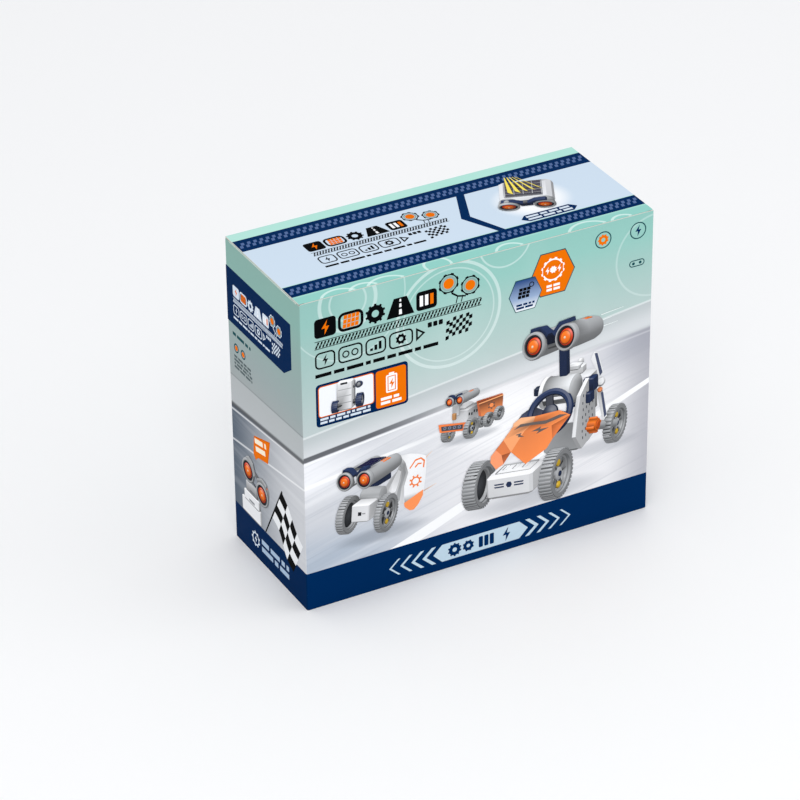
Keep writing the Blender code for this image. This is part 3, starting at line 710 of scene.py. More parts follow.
def title_block(art, u, v, scale, dark):
    """A title made of symbols: a row of blocks, a slanted strip, outlined symbols, a flag and a pair of lenses.

    Its own frame is 122 wide and 50 high, and dark is the colour of what is black on the front.
    """
    art.at(u, v, scale)
    title_blocks(art, dark)
    art.at(u, v, scale, skew=0.12)
    for column in range(4):                 # the cells of the solar panel in the second block
        for row in range(3):
            left, low = 16.2 + column * 2.9, 31.9 + row * 3.2
            art.box(left, low, left + 2.5, low + 2.8, ORANGE)
    art.at(u, v, scale)
    for low in (21.6, 27.0):                # the strip between the rows
        art.box(0, low, 120.5, low + 0.45, dark)
    for row, low in enumerate((22.3, 24.6)):
        for k in range(48):
            art.slanted(0.2 + k * 2.5 + row * 1.2, low, 1.35, 2.1, 0.75, dark)
    title_outlines(art, dark)
    title_lenses(art, dark)
    art.bars(0, 0.2, 89, 4.2, dark, 1, 1, 4)
    art.at(u + 94 * scale, v + 2.5 * scale, scale * 0.95, 12, 0.28)
    for column in range(8):                 # the flag
        for row in range(5):
            if (column + row) % 2 == 0:
                left, low = column * 2.6, row * 2.8 + 0.9 * math.sin(column * 0.8)
                art.box(left, low, left + 2.6, low + 2.8, dark)


def title_blocks(art, dark):
    """The upper row: a block with a bolt, a solar panel's frame, a gear, a road and a block with three bars."""
    base, top = 29.5, 43.2
    middle = (base + top) / 2
    art.box(0, base, 15.4, top, dark, 1, 2.5)
    art.area(bolt(7.7, middle, 5.2), ORANGE, 2)
    art.box(16.8, base, 35, top, dark, 1, 4.5, 2.0)
    art.gear(43.5, middle, 7.2, 10, 2.6, dark)
    art.area([(51.5, base), (71.5, base), (66.2, top), (56.8, top)], dark)
    for low, high, half in ((1.6, 5.2, 1.1), (6.8, 9.4, 0.85), (10.8, 12.6, 0.65)):
        far = half * 0.8
        art.area([(61.5 - half, base + low), (61.5 + half, base + low), (61.5 + far, base + high),
                  (61.5 - far, base + high)], WHITE, 2)
    art.box(73, base, 88, top, dark, 1, 2.5)
    for k, colour in enumerate((WHITE, WHITE, ORANGE)):
        art.box(75.5 + k * 3.8, base + 3, 77.9 + k * 3.8, top - 3, colour, 2)


def title_outlines(art, dark):
    """The lower row: boxes with a bolt, two rings, rising bars and a cog, then a triangle and small blocks."""
    middle = 12.9
    for left, right in ((0, 14.5), (16.5, 34), (36, 51), (53, 70.5)):
        art.box(left, 6.8, right, 19, dark, 1, 3.6, 1.15)
    art.area(bolt(7.2, middle, 4.0), dark)
    for u in (22, 28.5):
        art.disc(u, middle, 2.6, dark, 1, 1.7)
    for k in range(3):
        art.box(39.4 + k * 3.1, 10, 41.4 + k * 3.1, 11.8 + k * 2, dark)
    art.gear(61.7, middle, 3.9, 8, 1.5, dark, sides=16)
    art.area([(72.6, 8), (79.4, middle), (72.6, 17.8)], dark, 1, [[(73.9, 10.5), (77.2, middle), (73.9, 15.3)]])
    for k in range(3):
        art.box(81.2 + k * 4, 15.6, 84.2 + k * 4, 19.2, dark, 1, 0.6)


def title_lenses(art, dark):
    """Two toothed lenses at the upper right, on a curved arm."""
    for u, v, size in ((96.6, 43.6, 1.0), (112.4, 38.4, 0.96)):
        art.gear(u, v, 7.6 * size, 8, 6.0 * size, dark, depth=0.1, sides=28)
        art.disc(u, v, 5.4 * size, srgb(140, 168, 164), 1, 4.1 * size)
        art.disc(u, v, 3.8 * size, ORANGE)
    art.area([(98.4, 35.6), (103, 32.2), (109, 31), (109.2, 32), (103.4, 33.4), (99, 36.8)], dark)
    for u in (101.6, 105.4):
        art.slanted(u, 28, 0.7, 4.8, 1.2, dark)


def chevron(art, u, v, height, thick, way, colour):
    """An arrow head that points left (way -1) or right (way 1), with its tip at (u, v)."""
    half, back = height / 2, -way * height * 0.55
    art.area([(u, v), (u + back, v + half), (u + back - way * thick, v + half), (u - way * thick, v),
              (u + back - way * thick, v - half), (u + back, v - half)], colour)


def arrow_plate(art, u):
    """The light plate with pointed ends on the dark band, its symbols, and the chevrons beside it."""
    v, half, height = BAND_MIDDLE, 36.2, 13.3
    art.pointed_plate(u, v, half, height, PLATE)
    art.gear(u - 20, v, 5.2, 10, 1.7, NAVY, 2)
    art.gear(u - 9.6, v, 4.4, 8, 1.4, NAVY, 2)
    for k in range(3):
        art.box(u - 1.6 + k * 4.2, v - 4.2, u + 1.6 + k * 4.2, v + 4.2, NAVY, 2, 0.8)
    art.area(bolt(u + 19.5, v, 5.4), NAVY, 2)
    for k in range(4):
        reach = half + 8.4 + k * 8.3
        for way in (-1, 1):
            chevron(art, u + way * reach, v, height - k * 0.3, 3.2 - 0.5 * k, way, PLATE)


def outlined(art, corners, colour, line_colour, layer, inside):
    """A filled six-cornered sign on a larger one. inside is the size of its filling beside the whole."""
    middle = [sum(corner[i] for corner in corners) / 6 for i in (0, 1)]
    art.area(corners, line_colour, layer)
    art.area([tuple(m + (c - m) * inside for c, m in zip(corner, middle)) for corner in corners], colour, layer + 1)


def front_badges(art):
    """The orange and the blue hexagon, and the small symbols at the top right corner."""
    art.at(0, 0)
    corners = [(174.2, 218.5), (167.2, 202.7), (174.2, 187), (193, 187), (200.3, 202.7), (193, 218.5)]
    outlined(art, corners, ORANGE, TEAL, 1, 0.955)
    v = 205.3
    art.gear(183.7, v, 8.9, 12, 7.0, WHITE, 3, 0.1, 28)
    art.box(176.2, v - 3, 191.2, v + 3, ORANGE, 4)
    for shape in (bolt(179.5, v, 2.9), cog(183.9, v, 2.6, 8), bolt(188.3, v, 2.9)):
        art.area(shape, WHITE, 5)
    art.bars(179, 189.5, 189, 195, WHITE, 2, 3, 8)
    corners = [(155.8, 204), (150.8, 192.6), (155.8, 180.6), (170.4, 180.6), (175.6, 192.6), (170.4, 204)]
    outlined(art, corners, fading_ink(), TEAL, 3, 0.955)
    for column in range(3):
        for row in range(3):
            left, low = 157.6 + column * 2.9 + row * 0.5, 190.2 + row * 2.6
            art.box(left, low, left + 2.5, low + 2.2, BLACK, 5)
    art.disc(167.8, 198.8, 1.9, BLACK, 5, 1.3, 18)
    art.bars(156.5, 182.2, 170, 186.6, NAVY, 2, 6, 5)
    for u in (221.5, 248):
        art.disc(u, 217, 6.2, TEAL, 1, 5.4)
    art.gear(221.5, 217, 4.1, 9, 1.5, ORANGE, sides=16)
    art.area(bolt(248, 217, 4.2), NAVY)
    art.box(241.8, 190.5, 253.5, 195.5, TEAL, 1, 2.4, 0.7)
    for u in (245, 250.2):
        art.disc(u, 193, 1.1, TEAL, sides=16)


def power_card(art):
    """The dark card with a white window and an orange battery panel."""
    art.at(10, 136.5)
    art.box(0, 0, 66.4, 31.3, DEEP_NAVY, 1, 2.6)
    art.box(1.6, 6.8, 41.8, 29.6, ORANGE, 2, 2.2)
    art.box(2.2, 7.4, 41.2, 29.0, srgb(242, 245, 250), 3, 1.8)
    art.bars(2.8, 1.4, 40.5, 6.6, PALE, 2, 2, 6)
    art.box(43, 1.6, 65, 29.2, ORANGE, 2, 2.0)
    art.box(50.4, 11.5, 58.6, 24.6, WHITE, 3, 1.0, 1.1)
    art.box(52.6, 24.6, 56.4, 26.0, WHITE, 3)
    art.box(52.2, 13.2, 56.8, 22.9, WHITE, 3)
    art.area(bolt(54.5, 18, 3.7), ORANGE, 4)
    art.bars(46.5, 3.0, 61.5, 9.4, WHITE, 2, 3, 7)


def front_artwork():
    """The front's title, badges, small card and foot band."""
    art = Artwork("front_title_print", "front")
    title_block(art, 10, 172, 1.0, BLACK)
    art.done()
    art = Artwork("front_badge_print", "front")
    front_badges(art)
    power_card(art)
    art.done()
    art = Artwork("front_band_print", "front")
    arrow_plate(art, 130.3)
    art.done()


def side_artwork(face):
    """A narrow side's banner, small notes, speech sign, flag and foot band. The right side is mirrored."""
    flip = face == "right"
    title, notes, sign_bars, badge = (22, 72, 54, 27) if flip else (9.5, 7, 36.5, 31)

    def u(value):
        return DEPTH - value if flip else value

    art = Artwork(face + "_banner_print", face)
    art.at(0, 0)
    banner = [(0.2, 208.5), (92.5, 208.5), (92.5, 175.5), (81.6, 167.7), (0.2, 167.7)]
    art.area([(u(a), b) for a, b in banner], DEEP_NAVY)
    art.lift = 1
    title_block(art, title, 172.5, 0.59, PALE)
    art.lift = 0
    art.at(0, 0)
    art.bars(notes, 159, notes + 26, 162.6, TEAL, 1, 1, 12)
    for k in (0, 1):
        art.disc(notes + 4.5 + 10 * k, 151, 3.4, TEAL, 1, 2.4)
        art.disc(notes + 4.5 + 10 * k, 151, 1.9, ORANGE)
    art.bars(notes + 1, 135, notes + 27, 145.6, srgb(92, 104, 106), 4, 1, 13)
    sign = [(32, 81.8), (35, 78), (39, 81.6), (53.6, 84.5), (57.4, 103), (33.6, 96)]
    outlined(art, [(u(a), b) for a, b in sign], ORANGE, srgb(214, 100, 12), 1, 0.93)
    art.at(u(sign_bars), 84.5, 1, 12)
    art.bars(0, 0, 17, 11.5, srgb(252, 240, 216), 2, 3, 21)
    art.done()
    art = Artwork(face + "_flag_print", face)
    art.at(0, 0)
    race_flag(art, u)
    art.gear(badge, 14, 6, 9, 4, PALE, depth=0.18, sides=28)
    art.area(bolt(badge, 14, 3.2), PALE)
    art.bars(badge + 9, 8.2, badge + 49, 20, srgb(170, 192, 216), 2, 1, 31)
    art.done()


def race_flag(art, u):
    """A waving chequered flag on a pole. u places a distance from the wall's front or back edge."""
    corner, across, down = Vector((72.5, 73)), Vector((29, -26)), Vector((-14.5, -27.5))
    cells = 4
    pole = [(46, 28.3), (47.4, 28.3), (74, 73.6), (72.4, 74.4)]
    art.area([(u(a), b) for a, b in pole], BLACK)

    def point(i, j):
        s, t = i / cells, j / cells
        wave = 2.4 * math.sin(2 * math.pi * s) * (0.5 + 0.5 * t)
        place = corner + across * s + down * t + Vector((0.7, 0.7)) * wave
        return (u(place.x), place.y)

    for i in range(cells):
        for j in range(cells):
            steps = [i + k / 4 for k in range(5)]
            cell = [point(s, j) for s in steps] + [point(s, j + 1) for s in reversed(steps)]
            art.area(cell, srgb(236, 238, 240) if (i + j) % 2 else BLACK, 2)


def top_artwork():
    art = Artwork("top_title_print", "top", "lid", "carton_lid")
    title_block(art, 37.5, 34.6, 0.82, BLACK)
    art.at(0, 0)
    art.area([(156.7, 80.2), (144.3, 51), (157.2, 24.7), (162.2, 24.7), (151, 51), (162.7, 80.2)], NAVY)
    art.pointed_plate(198.6, 30.4, 21, 8.6, NAVY)
    art.bars(182.1, 27, 215.1, 33.8, PALE, 2, 2, 41)
    art.done()
    art = Artwork("top_band_print", "top", "lid", "carton_lid")
    for middle in (88, 17.7):
        for k in range(58):
            for row in (0, 1):
                u = 1.2 + k * 4.5 + row * 2.25
                if u + 3.6 < WIDTH:
                    art.slanted(u, middle - 3.4 + row * 3.6, 2.3, 3.2, 0.7, CHECK_BLUE)
    art.done()


def back_artwork():
    """Six framed windows for pictures, a title and a panel of symbols."""
    art = Artwork("back_title_print", "back")
    title_block(art, 11, 172, 0.92, BLACK)
    art.at(0, 0)
    art.box(146, 166, 249, 216, DEEP_NAVY, 1, 3.5)
    for k in range(3):
        u, v = 164 + 33.5 * k, 197
        art.disc(u, v, 13.4, PALE, 2, 12.4)
        if k == 1:
            art.area(bolt(u, v, 9.5), ORANGE, 2)
        else:
            art.gear(u, v, 9.5, 10 - k, 3.2 + k, PALE, 2)
    for k in range(3):
        art.bars(152 + 33.5 * k, 169.5, 176 + 33.5 * k, 179.5, PALE, 2, 2, 51 + k)
    for column, u in enumerate(BACK_COLUMNS):
        for row, v in enumerate(BACK_ROWS):
            art.box(u, v, u + WINDOW_WIDE, v + WINDOW_HIGH, NAVY, 1, 3.2)
            art.box(u + 1.2, v + 9, u + WINDOW_WIDE - 1.2, v + WINDOW_HIGH - 1.2, srgb(238, 243, 248), 2, 2.4)
            art.bars(u + 5, v + 2.4, u + 52, v + 6.8, PALE, 1, 2, 60 + column * 2 + row)
            art.disc(u + 68, v + 4.6, 2.8, ORANGE, 2)
    art.done()
    art = Artwork("back_band_print", "back")
    arrow_plate(art, 130)
    art.done()


def bottom_artwork():
    """Stripes, dots of the printing colours and rows of bars on the front flap of the bottom."""
    art = Artwork("bottom_marks_print", "bottom")
    rng = np.random.default_rng(5)
    art.at(0, 0)
    art.box(24, 60, 76, 94, WHITE, 1, 1.5)
    u = 29.0
    while u < 70:
        wide = rng.choice((0.5, 0.9, 1.4))
        art.box(u, 66, u + wide, 90, BLACK, 2)
        u += wide + rng.choice((0.6, 1.0, 1.5))
    for k, colour in enumerate((NAVY, ORANGE, TEAL, GREY)):
        art.disc(196 + 12 * k, 84, 4.4, colour)
    art.bars(190, 64, 238, 76, NAVY, 3, 1, 71)
    art.done()


# Solid shapes, and pictures made from them ----------------------------------------------------------------


def frame_at(place, front, side):
    """A frame at a place. Its x axis is front and its y axis lies as near to side as it can."""
    x = Vector(front).normalized()
    z = x.cross(Vector(side)).normalized()
    return Matrix.Translation(place) @ Matrix((x, z.cross(x), z)).transposed().to_4x4()


def spun(frame, k, count, axis):
    """The frame after k of count equal turns about its own axis."""
    return frame @ Matrix.Rotation(2 * math.pi * k / count, 4, axis)


def torus_section(thick, radius, sides, flat=None):
    """The round section of a ring round the x axis, as (along, radius) pairs."""
    turns = [2 * math.pi * k / sides for k in range(sides)]
    return [((flat or thick) * math.cos(t), radius + thick * math.sin(t)) for t in turns]


class Solid:
    """Closed shapes in millimetres, gathered into one mesh. A look is a material, or a colour in a picture."""

    def __init__(self):
        self.bm = bmesh.new()
        self.looks = []

    def close(self, faces, look):
        """Finishes a closed shape: its faces point outwards and share a look."""
        if look not in self.looks:
            self.looks.append(look)
        bmesh.ops.recalc_face_normals(self.bm, faces=faces)
        for face in faces:
            face.material_index = self.looks.index(look)
            face.smooth = True

    def loft(self, frame, loops, look, ring=False):
        """Bridges equal closed loops of points. A ring joins its last loop to its first, others are capped."""
        rows = [[self.bm.verts.new(frame @ Vector(point)) for point in loop] for loop in loops]
        pairs = list(zip(rows, rows[1:] + rows[:1])) if ring else list(zip(rows, rows[1:]))
        count, faces = len(rows[0]), []
        for near, far in pairs:
            for i in range(count):
                j = (i + 1) % count
                faces.append(self.bm.faces.new((near[i], near[j], far[j], far[i])))
        if not ring:
            faces += [self.bm.faces.new(rows[0]), self.bm.faces.new(rows[-1])]
        self.close(faces, look)

    def prism(self, frame, outline, low, high, look, axis="z"):
        """An outline drawn across an axis and drawn out along it. Pairs are (y, z), (x, z) or (x, y)."""
        slot = "xyz".index(axis)

        def point(pair, level):
            values = list(pair)
            values.insert(slot, level)
            return values

        self.loft(frame, [[point(pair, level) for pair in outline] for level in (low, high)], look)

    def plate(self, outline, low, high, look):
        """A flat plate in the picture's own plane, from low to high."""
        self.prism(Matrix(), outline, low, high, look)

    def block(self, frame, low, high, look, bevel=0.0):
        """A box between two opposite corners, all edges cut back by bevel."""
        b = bevel
        if b:
            levels = ((low[2], b), (low[2] + b, 0), (high[2] - b, 0), (high[2], b))
        else:
            levels = ((low[2], 0), (high[2], 0))
        loops = []
        for z, inset in levels:
            x0, y0, x1, y1 = low[0] + inset, low[1] + inset, high[0] - inset, high[1] - inset
            if b:
                loops.append([(x0 + b, y0, z), (x1 - b, y0, z), (x1, y0 + b, z), (x1, y1 - b, z),
                              (x1 - b, y1, z), (x0 + b, y1, z), (x0, y1 - b, z), (x0, y0 + b, z)])
            else:
                loops.append([(x0, y0, z), (x1, y0, z), (x1, y1, z), (x0, y1, z)])
        self.loft(frame, loops, look)

    def lathe(self, frame, profile, look, sides, axis="x", ring=False):
        """A profile of (along, radius) turned round an axis."""
        slot = "xyz".index(axis)
        loops = []
        for along, radius in profile:
            loop = []
            for a, b in circle(0, 0, max(radius, 0.01), sides):
                point = [a, b]
                point.insert(slot, along)
                loop.append(point)
            loops.append(loop)
        self.loft(frame, loops, look, ring)

    def bar(self, start, end, radius, look, sides=8):
        """A round bar between two points, with its ends' edges cut back."""
        start, end = Vector(start), Vector(end)
        along = end - start
        frame = Matrix.Translation(start) @ along.to_track_quat("X", "Z").to_matrix().to_4x4()
        cut = radius * 0.2
        profile = [(0, radius - cut), (cut, radius), (along.length - cut, radius), (along.length, radius - cut)]
        self.lathe(frame, profile, look, sides)

    def done(self, name, slot, node, body="carton", smooth=35):
        """Finishes the mesh as a piece that replaces a CAD node."""
        finish_piece(name, self.bm, self.looks, body, slot, [node], smooth)


class Picture(Solid):
    """A picture of solid things, pressed nearly flat onto a face. u is right, v is up and w is towards the viewer.

    The light on every corner is worked out once and kept as the ink's colour.
    """

    LIGHT = Vector((-0.22, 0.62, 0.76)).normalized()
    GLOSS = (LIGHT + Z).normalized()        # a surface that faces this way shines
    LIGHT_SHARE, SHADOW = 0.68, 0.45        # the light's strength, and what is left of it in a shadow
    SHINE, SHARPNESS = 0.22, 24
    SKY_SHARE, SKY_SLOPE = 0.5, 0.16        # the sky's strength, and how much more a face turned up gets
    # Nine directions over the sky, each turned from the one before by the golden angle of 2.4.
    SKY = [Vector((math.cos(2.4 * k) * math.sqrt(1 - z * z), math.sin(2.4 * k) * math.sqrt(1 - z * z), z))
           for k, z in enumerate((0.95, 0.85, 0.75, 0.65, 0.55, 0.45, 0.35, 0.25, 0.15))]
    REACH = 9.0                             # how far off a shape may be and still dim a point

    def face(self, front, side):
        """Sets the directions of a robot's front and of its axles."""
        self.front, self.side = front, side

    def at(self, *place):
        """A frame at a place, its x axis to the robot's front."""
        return frame_at(place, self.front, self.side)

    def across(self, *place):
        """A frame at a place, its x axis along the robot's axles."""
        return frame_at(place, self.side, self.front)

    def light(self, tree, point, normal, colour):
        """The colour of a point under a soft light at the upper left."""
        turn = normal.to_track_quat("Z", "Y").to_matrix()
        start = point + normal * 0.03
        hidden = 0.0
        for direction in self.SKY:
            distance = tree.ray_cast(start, turn @ direction, self.REACH)[3]
            if distance is not None:
                hidden += 1 - 0.6 * distance / self.REACH
        open_sky = 1 - hidden / len(self.SKY)
        shadow = self.SHADOW if tree.ray_cast(start, self.LIGHT, self.REACH * 2)[3] is not None else 1
        direct = max(normal.dot(self.LIGHT), 0) * shadow * (0.5 + 0.5 * open_sky)
        strength = (self.SKY_SHARE + self.SKY_SLOPE * normal.y) * open_sky + self.LIGHT_SHARE * direct
        shine = self.SHINE * max(normal.dot(self.GLOSS), 0) ** self.SHARPNESS * shadow
        return [min(value * strength + shine, 1) for value in colour]

    def press(self, name, face, body="carton", slot="carton_print", at=(0, 0), scale=1.0, mirror=1):
        """Makes the piece from the faces that the viewer sees.

        at is where the picture's own (0, 0) comes to lie, and mirror is -1 to turn left and right round.
        """
        bm = self.bm
        bm.normal_update()
        bm.faces.ensure_lookup_table()
        tree = BVHTree.FromBMesh(bm)
        low = min(vert.co.z for vert in bm.verts)
        high = max(vert.co.z for vert in bm.verts)
        origin, along, up, out = FACES[face]
        flat = bmesh.new()
        layer = flat.loops.layers.float_color.new("light")
        for shape in bm.faces:
            if shape.normal.z < 0.02:           # faces away, or is seen edge-on
                continue
            middle = shape.calc_center_median()
            tests = [middle] + [vert.co.lerp(middle, 0.12) for vert in shape.verts]     # a little inside
            if all(tree.ray_cast(point + shape.normal * 0.02, Z)[3] is not None for point in tests):
                continue
            colour = self.looks[shape.material_index]
            corners, colours = [], []
            for vert in shape.verts:            # the light runs on over edges that bend little
                near = [f.normal for f in vert.link_faces if f.normal.dot(shape.normal) > 0.8]
                normal = sum(near, Vector()).normalized()
                lift = PICTURE_ROOT + PICTURE_RELIEF * (vert.co.z - low) / (high - low)
                u, v = at[0] + vert.co.x * scale * mirror, at[1] + vert.co.y * scale
                corners.append(flat.verts.new(origin + along * u + up * v + out * lift))
                colours.append(self.light(tree, vert.co.lerp(middle, 0.04), normal, colour))
            pressed = flat.faces.new(corners[::mirror])
            for loop, value in zip(pressed.loops, colours[::mirror]):
                loop[layer] = (*value, 1)
        bm.free()
        finish_piece(name, flat, [picture_ink], body, slot)


def kept_ink():
    """Ink whose colour is kept in the mesh, with a faint grain."""
    paint = Paint("picture_ink")
    node = paint.add("Attribute")
    node.attribute_name = "light"
    colour = Value(paint.tree, node.outputs["Color"])
    return varnished(paint, paint.mix(paint.noise(0.8, 2) * 0.08, colour, srgb(128, 130, 134)))


picture_ink = kept_ink()


# The robots in the pictures -------------------------------------------------------------------------------

TYRE = srgb(164, 166, 168)
RIM = srgb(128, 131, 136)
FACE = srgb(186, 188, 190)
HOLLOW = srgb(84, 87, 92)
SHELL = srgb(170, 172, 174)
DARK = srgb(34, 36, 42)
BODY_WHITE = srgb(240, 241, 243)
BLUE = srgb(36, 52, 88)
AMBER = srgb(250, 120, 30)
GLOW = srgb(236, 70, 24)
PALE_GLOW = srgb(255, 214, 180)


def scaled(pairs, along, across):
    """The pairs with their first numbers times along and their second ones times across."""
    return [(a * along, b * across) for a, b in pairs]


def wheel(solid, frame, radius, width, tyre=TYRE, rim=FACE, face=FACE, hub=BLUE, treads=38, plugs=2, spokes=6):
    """A treaded wheel on the frame's y axis, with its outer side towards +y.

    Some of its six openings hold a yellow plug. Without a hub the wheel is open in the middle. Most lengths
    along the axle are in parts of half the width, and those across it in parts of the radius.
    """
    half, r = width / 2, radius

    def turned(pairs, look, sides, ring=False, place=frame):
        solid.lathe(place, scaled(pairs, half, r), look, sides, "y", ring)

    turned(((-1, 0.76), (-1, 0.92), (-0.8, 0.97), (0.8, 0.97), (1, 0.92), (1, 0.76)), tyre, 36, True)
    tread = 1.9 * r / treads
    for k in range(treads):
        low, high = (-tread, -half * 0.98, 0.93 * r), (tread, half * 0.98, r)
        solid.block(spun(frame, k, treads, "Y"), low, high, tyre, r * 0.012)
    turned(((-0.5, 0.3 / r), (-0.5, 0.78), (0.1, 0.78), (0.1, 0.3 / r)), rim, 32)
    turned(((0.1, 0.64), (0.5, 0.66), (0.6, 0.7), (0.6, 0.77), (0.1, 0.77)), face, 32, True)
    for k in range(spokes):
        low, high = (-0.05 * r, half * 0.1, 0.2 * r), (0.05 * r, half * 0.4, 0.66 * r)
        solid.block(spun(frame, k + 0.5, 6, "Y"), low, high, face, 0.01 * r)
        if plugs and k % (6 // plugs) == 0:
            opening = spun(frame, k, 6, "Y") @ Matrix.Translation((0, 0, 0.46 * r))
            turned(((0.1, 0.14), (0.5, 0.14), (0.6, 0.1)), YELLOW, 10, place=opening)
    if hub:
        turned(((0.1, 0.26), (0.5, 0.26), (0.6, 0.22)), srgb(214, 216, 219), 20)
        turned(((0.5, 0.11), (0.75, 0.11), (0.8, 0.07)), hub, 14)


def goggle(solid, frame, radius, length, shell=SHELL, glass=AMBER, iris=GLOW):
    """One lens and its tube on the frame's x axis, with the lens at the front."""
    tube = scaled(((-1, 0.62), (-0.97, 0.78), (-0.85, 0.89), (-0.45, 0.97), (-0.1, 0.99)), length, radius)
    mouth = ((-0.4, 0.99), (-0.35, 1.06), (-0.05, 1.06), (0.06, 0.98), (0.06, 0.88), (-0.22, 0.84))
    solid.lathe(frame, tube + scaled(mouth, radius, radius), shell, 32)
    rows = [(((-0.25, 0.83), (-0.02, 0.83), (-0.02, 0.7), (-0.2, 0.67)), DARK, 32),
            (((-0.2, 0.66), (-0.06, 0.64), (0.02, 0.53)), iris, 28),
            (((0.0, 0.52), (0.06, 0.44), (0.11, 0.3), (0.13, 0.14)), glass, 28)]
    if glass is AMBER:
        rows.append((((0.1, 0.15), (0.15, 0.08)), PALE_GLOW, 14))
    for profile, look, sides in rows:
        solid.lathe(frame, scaled(profile, radius, radius), look, sides)


def goggles(solid, left, right, front, side, radius, length, brow=BLUE, marks=True):
    """Two lenses side by side with a bridge between them and a folded brow above. Gives the middle's frame."""
    left, right = Vector(left), Vector(right)
    for place in (left, right):
        goggle(solid, frame_at(place, front, side), radius, length)
    frame = frame_at((left + right) / 2, front, side)
    gap = (right - left).length / 2
    r = radius
    for turn in (-24, -4) if marks else ():
        mark = frame_at(right, front, side) @ Matrix.Rotation(math.radians(turn), 4, "X")
        solid.block(mark, (-length * 0.72, -0.09 * r, 0.8 * r), (-length * 0.5, 0.09 * r, 0.96 * r), AMBER)
    solid.block(frame, (-length * 0.7, -gap, -0.55 * r), (-0.5 * r, gap, 0.5 * r), SHELL, 0.12 * r)
    solid.block(frame, (-0.5 * r, -0.35 * gap, -0.2 * r), (-0.2 * r, 0.35 * gap, 0.55 * r), brow, 0.08 * r)
    fold = ((0.12, 0.62), (0.62, 1.28), (1.25, 1.34), (1.3, 1.02), (0.7, 0.98), (0.3, 0.3))
    for way in (-1, 1):
        solid.prism(frame, scaled(fold, way * gap, r), -0.9 * r, -0.1 * r, brow, "x")
    return frame


def streak_of_speed(solid, u, v, far, slope, thick, thin, level, look):
    """A streak that trails behind a robot and thins towards its end."""
    end = v + far * slope
    solid.plate([(u, v), (u + far, end), (u + far, end + thin), (u, v + thick)], level, level + 0.4, look)


def rover(solid):
    """A robot on two wheels, with a tall curved back plate."""
    solid.face((-0.5, -0.22, 0.84), (0.86, -0.2, 0.47))
    frame = goggles(solid, (28.8, 90.4, 24), (43.0, 88.0, 33), (-0.62, -0.2, 0.76), (0.8, -0.13, 0.62), 6.9, 40)
    solid.block(frame, (-30, -7, 5.8), (-12, 7, 6.8), BLUE, 0.2)
    for k in range(3):
        solid.block(frame, (-29 + 5.8 * k, -6.2, 6.8), (-24 + 5.8 * k, 6.2, 7), srgb(24, 24, 60))
    solid.block(frame, (-34, -4, -12), (-18, 8, -5), BLUE, 0.6)
    # The arm with its grey housing and white cover, and the back plate with its orange foot.
    arm = [(69.5, 97), (75, 92), (75.8, 84), (72.6, 74), (71.6, 60.6), (66, 60), (61, 68), (57, 75), (62.2, 82),
           (67.6, 87), (69.4, 91)]
    solid.plate(arm, -8, -5, srgb(224, 225, 227))
    solid.plate([(69.6, 90), (71.8, 87), (70.4, 79), (67.4, 71), (66, 64), (69.2, 64), (70.6, 73), (74, 84),
                 (73, 90), (70.6, 94)], -5, -4.4, SHELL)
    solid.plate([(68.5, 88), (70.6, 86), (69, 79), (66.4, 72), (63.6, 71), (61, 74.4), (64.6, 81)], -5, -4.2,
                BODY_WHITE)
    back = [(70, 98.2), (77.3, 97.8), (84, 95.6), (88.9, 93), (89.4, 89), (89.1, 83.3), (88.4, 75), (87.3, 67),
            (73.2, 60.2), (72.5, 67), (72.6, 74), (75.8, 83.5), (73.8, 91.8)]
    solid.plate(back, -4, 0, BODY_WHITE)
    solid.plate([(72.3, 61), (86.8, 67.4), (86.5, 63), (83, 57), (79.6, 53.9), (76.6, 54.2), (73, 57.6)], -4, 0.6,
                srgb(250, 138, 66))
    streak_of_speed(solid, 89.2, 91, 4.6, 0.8, 0.9, 0.2, -8, srgb(250, 208, 178))
    streak_of_speed(solid, 87.3, 65.6, 9.4, 0.36, 0.9, 0.2, -8, srgb(250, 208, 178))
    # The orange marks on the back plate, and the cog badge.
    marks_at = Matrix.Translation((80, 81, 0))
    for marks in ([(-3.4, 5.5), (1, 11), (5.5, 11.5), (8.4, 8.5), (7.6, 3), (6.6, 3.4), (7.2, 7.9), (5.2, 10.3),
                   (1.4, 9.8), (-2.6, 5)], [(0.5, 5.4), (3, 7.8), (6, 7.2), (5.6, 6.2), (3.4, 6.6), (1.2, 4.6)]):
        solid.prism(marks_at, marks, 0, 0.2, ORANGE)
    badge = marks_at @ Matrix.Translation((1.2, -5.6, 0))
    solid.prism(badge, cog(0, 0, 4.8, 8, 0.3), 0, 0.2, ORANGE)
    solid.prism(badge, circle(0, 0, 2.4, 14), 0.2, 0.4, BODY_WHITE)
    solid.lathe(solid.across(50, 74.5, 2), [(-9, 4.5), (-8, 6), (8, 6), (9, 4.5)], srgb(196, 198, 200), 20)
    block = solid.at(43.2, 64.6, 10)
    solid.block(block, (-7, -7.4, -6.8), (7, 7.4, 6.8), BODY_WHITE, 0.8)
    solid.block(block, (7, -1.5, -1.6), (7.3, 1.2, 1.2), DARK)
    solid.block(block, (7, 1.8, -0.6), (7.2, 4.6, 0.4), SHELL)
    solid.block(block, (-16, -6, -5), (-7, 7, 7), SHELL, 1.0)
    wheel(solid, solid.at(31.2, 64.6, 3), 14.4, 6.0, rim=HOLLOW, hub=None, spokes=0)
    wheel(solid, solid.at(58.9, 57.8, 20), 14.6, 5.0)


